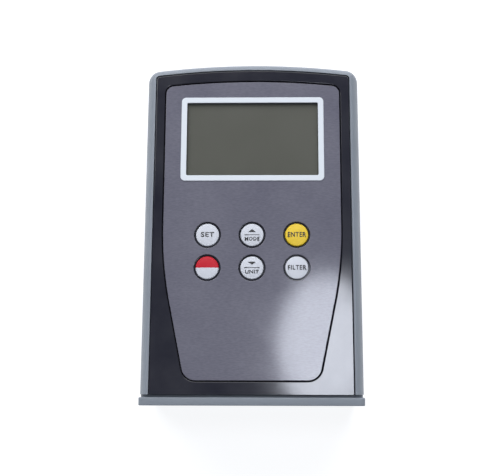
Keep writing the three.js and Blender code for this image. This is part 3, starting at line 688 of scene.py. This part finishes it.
def rear_shell():
    build = Builder()
    high = PARTING - PARTING_GAP
    inner_wall = SWELL - WALL
    outside = parting_edge(high, -1)
    outside += [(SWELL, SWELL_FALL + SWELL_MARGIN)]
    outside += [(outset, SWELL_FALL - up) for outset, up in ellipse_rise()]
    inside = [(inner_wall, high), (inner_wall - LIP["gap"], high), (inner_wall - LIP["gap"], LIP["high"])]
    inside += [(inner_wall - LIP["inside"], LIP["high"]), (inner_wall - LIP["inside"], LIP["low"])]
    inside += [(inner_wall, LIP["low"])]
    inside += [(outset - WALL, WALL + SWELL_FALL - up) for outset, up in ellipse_rise(8)]
    outer, inner = skins(build, outside, inside)
    doorway = grown(DOOR_X, DOOR_Y, 1.6, DOOR_GAP)
    door_rings = [build.ring(doorway, 0), build.ring(doorway, WALL)]
    build.walls(door_rings)
    build.cap(outer[-1], [door_rings[0]])
    build.cap(inner[-1], [door_rings[1]])
    lower_end(build, outer, inner)
    piece = build.finish("rear_shell_fine", MATERIALS["shell_grey"])
    combine(piece, "UNION", posts([(POST_RADIUS, 1), (POST_RADIUS, high)]))
    bore = [(3.6, -0.2), (HEAD_HOLE_RADIUS, 0.3), (HEAD_HOLE_RADIUS, HEAD_HOLE_DEPTH)]
    bore += [(SHANK_HOLE_RADIUS, HEAD_HOLE_DEPTH), (SHANK_HOLE_RADIUS, high + 1)]
    combine(piece, "DIFFERENCE", posts(bore))
    fixed(piece, "housing", "shell_grey", "rear_shell")


def face_panel():
    """The glossy face, with a recess for the label and a groove round the recess's foot."""
    build = Builder()
    end = housing_end(FACE_TOP) + 0.02
    outer_steps = [(-FACE_GAP, FACE_BACK)]
    outer_steps += [(-FACE_GAP - inward, FACE_TOP - FACE_EDGE + up) for inward, up in quarter(FACE_EDGE)]
    outer = [build.ring(housing_outline(outset, end), z) for outset, z in outer_steps]
    round_over = quarter(RECESS_EDGE, 4)[::-1]
    recess_steps = [(LABEL_GAP + inward, FACE_TOP - RECESS_EDGE + up) for inward, up in round_over]
    recess_steps += [(LABEL_GAP, RECESS_FLOOR + 0.3), (0.15, GROOVE_FLOOR), (-0.4, RECESS_FLOOR)]
    recess = [build.ring(label_outline(outset), z) for outset, z in recess_steps]
    openings = [display_outline(0.7, 1)]
    openings += [circle(x, y, KEY_HOLE_RADIUS) for x, y in KEY_PLACES.values()]
    floors = [build.ring(outline, RECESS_FLOOR) for outline in openings]
    backs = [build.ring(outline, FACE_BACK) for outline in openings]
    build.walls(outer)
    build.walls(recess)
    for opening_floor, back in zip(floors, backs):
        build.wall(opening_floor, back)
    build.cap(outer[-1], [recess[0]])
    build.cap(recess[-1], floors)
    build.cap(outer[0], backs)
    piece = build.finish("face_panel_fine", MATERIALS["face_black"])
    fixed(piece, "housing", "face_black", "face_panel")


def panel_label():
    holes = [lambda outset: display_outline(outset, 0.6)]
    for x, y in KEY_PLACES.values():
        holes.append(lambda outset, x=x, y=y: circle(x, y, KEY_RING_RADIUS + outset, 64))
    span = (RECESS_FLOOR + 0.1, LABEL_TOP)
    piece = plate("panel_label_fine", MATERIALS["label_grey"], label_outline, span, LABEL_EDGE, holes)
    fixed(piece, "housing", "label_grey", "panel_label")


# ---------- display

def window_frame():
    """The white band printed round the window."""
    band = plate(
        "window_frame_fine",
        MATERIALS["print_white"],
        lambda outset: display_outline(PRINT_BAND + outset, 1.8 + outset),
        span=(LABEL_TOP + 0.05, LABEL_TOP + 0.3),
        edge=0.1,
        holes=[lambda outset: display_outline(outset, 0.6)],
    )
    fixed(band, "housing", "print_white", "window_frame")


def display_window():
    pane = plate(
        "display_window_fine",
        MATERIALS["window_clear"],
        lambda outset: display_outline(0.4 + outset, 0.8),
        span=(FACE_BACK, RECESS_FLOOR - 0.05),
        edge=0.05,
    )
    fixed(pane, "housing", "window_clear", "display_window")


def lcd():
    """The display's front glass and the larger one behind it."""
    front = plate(
        "lcd_front_glass",
        MATERIALS["lcd_olive"],
        lambda outset: display_outline(-0.4 + outset, 0.3),
        span=LCD_FRONT,
        edge=0.08,
    )
    fixed(front, "housing", "lcd_olive", "lcd_glass")
    half_x, half_y = LCD_REAR_HALF
    x_span, y_span = (-half_x, half_x), (DISPLAY_Y - half_y, DISPLAY_Y + half_y)
    rear = plate(
        "lcd_rear_glass",
        MATERIALS["lcd_olive"],
        lambda outset: grown(x_span, y_span, 0.3, outset),
        span=LCD_REAR,
        edge=0.08,
    )
    fixed(rear, "housing", "lcd_olive")


# ---------- keys

def key_cap(name, finish, lower_finish=None):
    """A key with a flange, a rounded edge and a slightly domed top."""
    build = Builder()
    x, y = KEY_PLACES[name]
    profile = [(KEY_FLANGE_RADIUS, KEY_FLANGE[0]), (KEY_FLANGE_RADIUS, KEY_FLANGE[1])]
    profile += [(KEY_RADIUS, KEY_FLANGE[1])]
    profile += [(KEY_RADIUS - inward, KEY_TOP - 0.75 + up) for inward, up in quarter(0.45, 8)]
    profile += [(3.2, KEY_TOP - 0.16), (2, KEY_TOP - 0.06), (0.8, KEY_TOP - 0.01)]
    build.solid(build.rounds(profile, centre=(x, y)))
    piece = build.finish(name + "_cap", MATERIALS[finish], smooth_angle=50)
    if lower_finish:
        piece.data.materials.append(MATERIALS[lower_finish])
        for face in piece.data.polygons:
            face.material_index = 1 if face.center.y < y * MM else 0
    fixed(piece, name, finish, name)


def printed(name, key, outlines):
    """Flat print on a key: each outline is raised by a hair above the cap."""
    build = Builder()
    x, y = KEY_PLACES[key]
    for outline in outlines:
        moved = [(x + px, y + py) for px, py in outline]
        build.solid([build.ring(moved, z) for z in (KEY_TOP - 0.2, KEY_TOP + 0.02)])
    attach(build.finish(name, MATERIALS["print_black"], smooth_angle=20), key)


def word(key, text, height, width, middle_y):
    """A short word printed on a key, stretched to a width, from Blender's own font."""
    name = key + "_word"
    curve = bpy.data.curves.new(name, "FONT")
    curve.body = text
    curve.align_x, curve.align_y = "CENTER", "CENTER"
    capital_share = 0.7
    curve.size = height / capital_share * MM
    curve.offset = 0.02 * curve.size
    curve.space_character = 1.12
    curve.extrude = 0.08 * MM
    lettering = linked(name, curve)
    bpy.context.view_layer.update()
    natural = lettering.dimensions.x / MM
    x, y = KEY_PLACES[key]
    lettering.location = Vector((x, y + middle_y, KEY_TOP - 0.05)) * MM
    lettering.scale.x = width / natural
    mesh = evaluated_mesh(lettering)
    mesh.transform(lettering.matrix_world)
    bpy.data.objects.remove(lettering)
    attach(new_piece(name, mesh, MATERIALS["print_black"]), key)


def arrow(pointing):
    """A triangle above a key's middle, pointing up (1) or down (-1)."""
    half_width, half_height, middle = 1.5, 0.62, 1.7
    tip, foot = middle + pointing * half_height, middle - pointing * half_height
    points = [(-half_width, foot), (half_width, foot), (0, tip)]
    return points if pointing > 0 else points[::-1]


def rule(width, thickness=0.26):
    """A thin line across a key's middle."""
    return rectangle((-width / 2, width / 2), (-thickness / 2, thickness / 2))


def keys():
    for name, finishes in KEY_FINISHES.items():
        key_cap(name, *finishes)
    printed("up_key_marks", "up_key", [arrow(1), rule(6)])
    printed("down_key_marks", "down_key", [arrow(-1), rule(6.2)])
    word("set_key", "SET", height=1.9, width=5.2, middle_y=0)
    word("start_key", "ENTER", height=1.9, width=7.2, middle_y=0)
    word("filter_key", "FILTER", height=1.8, width=7.2, middle_y=0)
    word("up_key", "MODE", height=1.4, width=5.8, middle_y=-1.7)
    word("down_key", "UNIT", height=1.4, width=5.4, middle_y=-1.7)


# ---------- screws, door and base

def screw(name, place, recess, profile):
    """A turned screw with a cross recess in its head, which is at the first profile step."""
    arm, half = recess
    cross = [
        (arm, -half), (arm, half), (half, half), (half, arm), (-half, arm), (-half, half),
        (-arm, half), (-arm, -half), (-half, -half), (-half, -arm), (half, -arm), (half, -half),
    ]
    taper, recess_depth = 0.6, 0.9
    build = Builder(place)
    rings = build.rounds(profile, 32)
    build.walls(rings)
    build.cap(rings[-1])
    head = profile[0][1]
    mouth = build.ring(cross, head)
    bottom = build.ring([(x * taper, y * taper) for x, y in cross], head + recess_depth)
    build.wall(mouth, bottom)
    build.cap(bottom)
    build.cap(rings[0], [mouth])
    fixed(build.finish(name + "_fine", MATERIALS["steel"]), "housing", "steel", name)


def case_screws():
    head = [(2.3, 0), (2.65, 0.15), (2.8, 0.5), (2.8, 1.6)]
    shank = [(1.3, 2), (1.3, 26), (0.4, 27)]
    for index, (x, y) in enumerate(POST_PLACES, 1):
        name = f"case_screw_{index}"
        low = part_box(name)[0].z / MM
        profile = [(radius, low + rise) for radius, rise in head + shank]
        screw(name, Matrix.Translation(Vector((x, y, 0)) * MM), (1.5, 0.32), profile)


def base_screws():
    places = [(f"base_screw_{i}", place, BASE_SCREW_LENGTH) for i, place in enumerate(BASE_SCREWS, 1)]
    places += [
        (f"chassis_screw_{i}", place, CHASSIS_SCREW_LENGTH) for i, place in enumerate(CHASSIS_SCREWS, 1)
    ]
    for name, (x, back), length in places:
        profile = [(2.2, 0.1), (2.5, 0.3), (2.5, 1.5), (1.2, 1.6), (1.2, length - 1), (0.3, length)]
        screw(name, in_base(x, 0, back, UPRIGHT), (1.35, 0.3), profile)


def battery_door():
    door_panel()
    for index in range(5):
        door_rib(index + 1, (index - 2) * RIB_PITCH)
    door_tongue("left", -TONGUE_X)
    door_tongue("right", TONGUE_X)


def door_panel():
    """The door's panel, with a shallow pocket for a finger."""
    build = Builder()
    steps = [(-inward, DOOR_EDGE - up) for inward, up in quarter(DOOR_EDGE, 4)[::-1]]
    steps += [(0, DOOR_THICKNESS)]
    pocket_steps = [(0.25, 0), (0, 0.25), (-0.6, 0.85)]
    outer = [build.ring(grown(DOOR_X, DOOR_Y, DOOR_CORNER + outset, outset), z) for outset, z in steps]
    pocket = [build.ring(grown(GRIP_X, GRIP_Y, 2.9 + outset, outset), z) for outset, z in pocket_steps]
    build.walls(outer)
    build.walls(pocket)
    build.cap(outer[0], [pocket[0]])
    build.cap(pocket[-1])
    build.cap(outer[-1])
    panel = build.finish("battery_door_fine", MATERIALS["shell_grey"])
    fixed(panel, "battery_door", "shell_grey", "battery_door")


def door_rib(number, x):
    """One of the raised ribs in the finger pocket."""
    rib = plate(
        f"door_rib_{number}",
        MATERIALS["shell_grey"],
        lambda outset: rounded_rectangle((x - 0.5 - outset, x + 0.5 + outset), RIB_Y, 0.38),
        span=(-0.9, -0.1),
        edge=0.1,
        place=Matrix.Rotation(pi, 4, "Y"),
    )
    fixed(rib, "battery_door", "shell_grey")


def door_tongue(side, x):
    """One of the two tongues that the door turns on."""
    tongue = plate(
        f"door_tongue_{side}",
        MATERIALS["shell_grey"],
        lambda outset: grown((x - 5, x + 5), TONGUE_Y, 0.5, outset),
        span=TONGUE_Z,
        edge=0.2,
    )
    fixed(tongue, "battery_door", "shell_grey")


def base_plinth():
    """The base's plate and the neck above it, with the pickup's slot and the screw holes."""
    build = Builder(BASE_FRAME @ UPRIGHT)
    half_width, depth = PLATE[0] / 2, PLATE[1]
    edge = quarter(PLATE_EDGE, 4)
    steps = [(-inward, PLATE_EDGE - up) for inward, up in edge[::-1]]
    steps += [(-inward, PLATE[2] - PLATE_EDGE + up) for inward, up in edge]
    outer = [
        build.ring(grown((-half_width, half_width), (0, depth), PLATE_CORNER + outset, outset), z)
        for outset, z in steps
    ]
    neck_half = half_width - NECK["side"]
    neck_y = (NECK["end"], depth - NECK["end"])
    neck = rounded_rectangle((-neck_half, neck_half), neck_y, NECK["corner"])
    neck_rings = [build.ring(neck, PLATE[2]), build.ring(neck, NECK["top"])]
    build.walls(outer)
    build.walls(neck_rings)
    slot_steps = [(0.3, 0), (0, 0.3), (0, NECK["top"])]
    slot = [build.ring(grown(*SLOT, SLOT_CORNER + outset, outset), z) for outset, z in slot_steps]
    build.walls(slot)
    openings = [slot]
    screw_hole = [(3.0, 0), (2.8, 0.2), (2.8, 1.7), (1.5, 1.7), (1.5, NECK["top"])]
    for place in BASE_SCREWS + CHASSIS_SCREWS:
        hole = build.rounds(screw_hole, 36, place)
        build.walls(hole)
        openings.append(hole)
    build.cap(outer[0], [rings[0] for rings in openings])
    build.cap(outer[-1], [neck_rings[0]])
    build.cap(neck_rings[-1], [rings[-1] for rings in openings])
    piece = build.finish("base_plinth_fine", MATERIALS["shell_grey"])
    fixed(piece, "housing", "shell_grey", "base_plinth")


# ---------- batteries and data socket

def cell(index, place):
    """A cell in a sleeve, with bare metal at its foot, its shoulder and its button."""
    edge = [(CELL_RADIUS - inward, up) for inward, up in quarter(0.35, 4)]
    foot = [(4.5, 0)] + [(radius, 0.35 - up) for radius, up in edge[::-1]]
    shoulder = [(radius, 43.45 + up) for radius, up in edge] + [(4.5, 43.8), (4.4, 43.7), (2.1, 43.7)]
    button = [(1.9, 43.85), (1.9, 44.7), (1.8, 44.92), (1.6, 45)]
    name = f"battery_{index}"
    piece = turned(name + "_fine", MATERIALS["cell_sleeve"], foot + shoulder + button, place)
    piece.data.materials.append(MATERIALS["steel"])
    inverse = place.inverted()
    for face in piece.data.polygons:
        centre = inverse @ face.center * TO_MM
        on_sleeve = hypot(centre.x, centre.y) > SLEEVE_INNER_RADIUS
        face.material_index = 0 if on_sleeve else 1
    fixed(piece, "housing", "cell_sleeve", name)


def spring(index, place):
    """A conical spring, from its wide foot to its narrow tip."""
    wide, narrow = SPRING_RADII
    path = []
    for i in range(SPRING_STEPS + 1):
        t = i / SPRING_STEPS
        angle = 2 * pi * SPRING_TURNS * t
        radius = wide + (narrow - wide) * t
        path.append((radius * cos(angle), -radius * sin(angle), SPRING_FOOT + SPRING_HEIGHT * t))
    name = f"battery_spring_{index}"
    piece = coil(name + "_fine", MATERIALS["steel"], path, SPRING_WIRE, place)
    fixed(piece, "housing", "steel", name)


def batteries():
    """Four cells side by side, each turned end for end from the next, and their springs."""
    low, high = BAY_Y
    for index in range(1, 5):
        x = (index - 2.5) * CELL_PITCH
        y, direction = (low, -1) if index % 2 else (high, 1)
        turn = Matrix.Rotation(direction * pi / 2, 4, "X")
        cell_foot = Matrix.Translation(Vector((x, y - direction * 4.4, CELL_Z)) * MM)
        spring_foot = Matrix.Translation(Vector((x, y - direction * 0.5, CELL_Z)) * MM)
        cell(index, cell_foot @ turn)
        spring(index, spring_foot @ turn)


def data_jack():
    """A block, and a barrel with a bore and a centre pin."""
    place = Matrix.Translation(Vector((JACK_X, JACK_Y, JACK_Z)) * MM)
    build = Builder(place @ Matrix.Rotation(-pi / 2, 4, "Y"))
    block = rounded_rectangle((-3.5, 3.5), (-4.5, 4.5), 0.6)
    blocks = [build.ring(block, z) for z in (0, JACK_BACK_LENGTH)]
    barrel_profile = [(3.6, JACK_BACK_LENGTH)]
    barrel_profile += [(3.6 - inward, 11.75 + up) for inward, up in quarter(0.25, 4)]
    barrel = build.rounds(barrel_profile, 48)
    bore = build.rounds([(2.05, 12), (1.75, 11.7), (1.75, 2)], 48)
    pin = build.rounds([(0.5, 2), (0.5, 8.6), (0.2, 9)], 48)
    for rings in (blocks, barrel, bore, pin):
        build.walls(rings)
    build.cap(blocks[0])
    build.cap(blocks[1], [barrel[0]])
    build.cap(barrel[-1], [bore[0]])
    build.cap(bore[-1], [pin[0]])
    build.cap(pin[-1])
    piece = build.finish("data_jack_fine", MATERIALS["moulding_dark"])
    fixed(piece, "housing", "moulding_dark", "data_jack")


# ---------- traverse drive

def guide_rods():
    for name, offset in (("guide_rod_front", -ROD_OFFSET), ("guide_rod_rear", ROD_OFFSET)):
        low, high = (corner.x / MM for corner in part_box(name))
        profile = [(1.2, low), (1.5, low + 0.3), (1.5, high - 0.3), (1.2, high)]
        place = in_base(0, SCREW_RISE, DRIVE_DEPTH + offset, ALONG_X)
        fixed(turned(name + "_fine", MATERIALS["steel"], profile, place), "housing", "steel", name)


def thread_ring(build, z, low, high, sides):
    """A ring of the screw's left-hand thread, which fades out towards both ends."""
    fade = min(1, (z - low) / THREAD_FADE, (high - z) / THREAD_FADE)
    points = []
    for x, y in circle(0, 0, 1, sides):
        turn = (atan2(x, -y) / (2 * pi) + z / SCREW_LEAD) % 1
        height = min(max(abs(turn - 0.5) * THREAD_STEEPNESS - THREAD_FLAT, 0), 1)
        radius = SCREW_RADIUS - 0.02 - THREAD_DEPTH * (1 - height) * fade
        points.append((x * radius, y * radius))
    return build.ring(points, z)


def lead_screw():
    """A screw whose left-hand thread carries the carriage to the right when it turns forwards."""
    build = Builder(in_base(0, SCREW_RISE, DRIVE_DEPTH, ALONG_X))
    low, high = LUG_RIGHT + 0.3, PLATE_LEFT - 0.3
    steps, sides = 340, 48
    heights = [low + (high - low) * i / steps for i in range(steps + 1)]
    threaded = [thread_ring(build, z, low, high, sides) for z in heights]
    left = build.rounds([(1.3, -15), (1.5, -14.8), (1.5, low)], sides)
    right = build.rounds([(1.5, high), (1.5, 34.8), (1.3, 35)], sides)
    build.solid(left + threaded + right)
    piece = build.finish("lead_screw_fine", MATERIALS["steel"], smooth_angle=50)
    fixed(piece, "screw_train", "steel", "lead_screw")


def drive_motor():
    """A motor can with a groove near its left end and a hole for its shaft."""
    low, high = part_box("drive_motor")
    middle = (low + high) / 2
    left, right = low.x / MM, high.x / MM
    place = Matrix.Translation((0, middle.y, middle.z)) @ Matrix.Rotation(LEAN, 4, "X") @ ALONG_X
    profile = [(2, left + 0.4), (2.2, left), (5.7, left), (6, left + 0.3), (6, left + 2)]
    profile += [(5.85, left + 2.1), (5.85, left + 2.3), (6, left + 2.4), (6, right - 0.3)]
    profile += [(5.7, right), (1.3, right), (1.3, right - 3)]
    piece = turned("drive_motor_fine", MATERIALS["steel"], profile, place)
    fixed(piece, "housing", "steel", "drive_motor")


def pickup_tube():
    """A tube with a hollow nose, notched below for the stylus."""
    nose, end = TIP_X - 3, 5.7
    profile = [(3, end - 3), (3, nose + 0.3), (3.25, nose), (3.75, nose), (4, nose + 0.3)]
    profile += [(4, end - 0.3), (3.7, end)]
    place = in_base(0, PICKUP_RISE, DRIVE_DEPTH, ALONG_X)
    tube = turned("pickup_tube_fine", MATERIALS["steel"], profile, place)
    notch = Builder(in_base(0, 0, DRIVE_DEPTH))
    opening = rectangle((nose - 1, TIP_X + 2), (PICKUP_RISE - 5, PICKUP_RISE))
    notch.solid([notch.ring(opening, z) for z in (-1.2, 1.2)])
    combine(tube, "DIFFERENCE", notch)
    fixed(tube, "carriage", "steel", "pickup_tube")


def pickup_skid():
    """The ruby wheel that the pickup rests on, and its stem."""
    profile = [(1.9, -1.6), (2.12, -1.5), (2.2, -1.25), (2.2, 1.25), (2.12, 1.5), (1.9, 1.6)]
    wheel = turned("pickup_skid_fine", MATERIALS["ruby"], profile, in_base(SKID_X, SKID_RISE, DRIVE_DEPTH))
    fixed(wheel, "carriage", "ruby", "pickup_skid")
    stem = plate(
        "pickup_skid_stem",
        MATERIALS["ruby"],
        lambda outset: grown((-1.5, 1.5), (-1.6, 1.6), 0.4, outset),
        span=(2, 5.8),
        edge=0.1,
        place=in_base(SKID_X, 0, DRIVE_DEPTH, UPRIGHT),
    )
    fixed(stem, "carriage", "ruby")


def stylus():
    """The lever's arm, the needle at its tip and the hub at its pivot."""
    steel, brass = MATERIALS["steel"], MATERIALS["brass"]
    profile = [(0.5, TIP_X - 0.8), (0.8, TIP_X - 0.5), (0.8, PIVOT_X)]
    place = in_base(0, PICKUP_RISE, DRIVE_DEPTH, ALONG_X)
    fixed(turned("stylus_arm", steel, profile, place, 32), "stylus", "steel", "stylus_lever")
    profile = [(0.7, 0), (0.7, 2), (0.45, 2.3), (0.42, 8.4), (0.2, 10.1), (0.08, 10.28)]
    place = in_base(TIP_X, PICKUP_RISE, DRIVE_DEPTH, Matrix.Rotation(pi / 2, 4, "X"))
    fixed(turned("stylus_needle", steel, profile, place, 32), "stylus", "steel")
    profile = [(1.3, -1.4), (1.5, -1.2), (1.5, 1.2), (1.3, 1.4)]
    place = in_base(PIVOT_X, PICKUP_RISE, DRIVE_DEPTH)
    fixed(turned("stylus_hub", brass, profile, place, 48), "stylus", "brass")


# ---------- everything else keeps its CAD shape

SOFTENED = [
    "lcd_holder", "main_board", "processor_chip", "keypad_mat", "battery_tray", "contact_plate_upper",
    "contact_plate_lower", "drive_chassis", "pickup_carriage", "home_switch", "end_switch",
    "zebra_strip_upper", "zebra_strip_lower",
]


def finish_cad_nodes():
    slots = {part["node"]: part["material_slot"] for part in frame["record"]["subparts"]}
    for name, node in frame["nodes"].items():
        node.data.materials.clear()
        node.data.materials.append(MATERIALS[slots[name]])
    for name in SOFTENED:
        soften(frame["nodes"][name])


def soften(node):
    """Rounds a node's edges by a hair."""
    weld = node.modifiers.new("weld", "WELD")
    weld.merge_threshold = 0.01 * MM
    bevel = node.modifiers.new("edges", "BEVEL")
    bevel.width = 0.12 * MM
    bevel.segments = 2
    bevel.limit_method = "ANGLE"


# ---------- camera, floor and light

VIEW_AZIMUTH = radians(5.44)
VIEW_ELEVATION = radians(76.93)
VIEW_ROLL = radians(-5.34)
VIEW_DISTANCE = 392
VIEW_AIM = (-0.79, -4.57, 47.7)
VIEW_LENS = 71.45
VIEW_SENSOR = 36


def camera():
    """The photo's camera: its place from two angles and a distance, then its roll."""
    level = cos(VIEW_ELEVATION)
    back = Vector((
        sin(VIEW_AZIMUTH) * level, -cos(VIEW_AZIMUTH) * level, sin(VIEW_ELEVATION)
    ))
    right = Vector((cos(VIEW_AZIMUTH), sin(VIEW_AZIMUTH), 0))
    up = back.cross(right)
    rolled_right = right * cos(VIEW_ROLL) + up * sin(VIEW_ROLL)
    rolled_up = back.cross(rolled_right)
    data = bpy.data.cameras.new("camera")
    data.lens = VIEW_LENS
    data.sensor_width = VIEW_SENSOR
    viewer = linked("camera", data)
    turn = Matrix((rolled_right, rolled_up, back)).transposed().to_4x4()
    viewer.matrix_world = Matrix.Translation((Vector(VIEW_AIM) + back * VIEW_DISTANCE) * MM) @ turn
    bpy.context.scene.camera = viewer


def floor():
    reach, drop = 20000, 0.05
    build = Builder()
    build.cap(build.ring(rectangle((-reach, reach), (-reach, reach)), -drop))
    nodes = Nodes("floor")
    cloud = nodes.spread(nodes.noise(3, detail=2), 0, 1)
    paper = nodes.colours(cloud, (0.3, 0.305, 0.315), (0.315, 0.317, 0.32))
    nodes.to_shader("Base Color", paper)
    nodes.to_shader("Emission Color", paper)
    nodes.shader.inputs["Emission Strength"].default_value = 2.75
    nodes.shader.inputs["Roughness"].default_value = 0.9
    nodes.shader.inputs["Specular IOR Level"].default_value = 0
    build.finish("floor", nodes.material)


def sky():
    """A dim sky, with a bright band low down ahead and behind and a pale horizon all round."""
    world = bpy.data.worlds.new("world")
    bpy.context.scene.world = world
    world.use_nodes = True
    tree = world.node_tree
    background = tree.nodes["Background"]
    background.inputs["Color"].default_value = (0.93, 0.96, 1, 1)
    direction = tree.nodes.new("ShaderNodeSeparateXYZ")
    coordinates = tree.nodes.new("ShaderNodeTexCoord")
    tree.links.new(coordinates.outputs["Generated"], direction.inputs["Vector"])

    def faded(source, span, levels):
        fade = tree.nodes.new("ShaderNodeMapRange")
        fade.inputs["From Min"].default_value, fade.inputs["From Max"].default_value = span
        fade.inputs["To Min"].default_value, fade.inputs["To Max"].default_value = levels
        tree.links.new(source, fade.inputs["Value"])
        return fade.outputs["Result"]

    def calculated(operation, *sources):
        node = tree.nodes.new("ShaderNodeMath")
        node.operation = operation
        for source, socket in zip(sources, node.inputs):
            tree.links.new(source, socket)
        return node.outputs["Value"]

    height, across = direction.outputs["Z"], calculated("ABSOLUTE", direction.outputs["X"])
    band = faded(height, span=(0.1, 0.3), levels=(1.3, 0))
    ahead = faded(across, span=(0.3, 0.8), levels=(1, 0))
    horizon = faded(height, span=(0.06, 0.14), levels=(0.95, 0.2))
    level = calculated("ADD", calculated("MULTIPLY", band, ahead), horizon)
    tree.links.new(level, background.inputs["Strength"])


def area_light(name, shape, place, aim, size, power, colour=(1, 1, 1)):
    data = bpy.data.lights.new(name, "AREA")
    data.shape = shape
    data.size, data.size_y = size[0] * MM, size[1] * MM
    data.energy = power
    data.color = colour
    lamp = linked(name, data)
    lamp.location = Vector(place) * MM
    direction = Vector(aim) - Vector(place)
    lamp.rotation_mode = "QUATERNION"
    lamp.rotation_quaternion = direction.to_track_quat("-Z", "Y")


def lights():
    """A soft box that lights the object, and a lamp that the glossy face mirrors as glare."""
    place, aim = (-210, 1040, 1100), (0, 0, 20)
    area_light("soft_box", "RECTANGLE", place, aim, size=(2400, 900), power=32)
    place, aim = (62, 25, 648), (62, 25, 0)
    area_light("window", "ELLIPSE", place, aim, size=(100, 140), power=0.62, colour=(0.86, 0.9, 1))


# ---------- the scene

bpy.context.scene.view_settings.view_transform = "Standard"
camera()
finish_cad_nodes()
front_shell()
rear_shell()
face_panel()
panel_label()
window_frame()
display_window()
lcd()
keys()
case_screws()
base_screws()
battery_door()
batteries()
data_jack()
base_plinth()
guide_rods()
lead_screw()
drive_motor()
pickup_tube()
pickup_skid()
stylus()
floor()
sky()
lights()
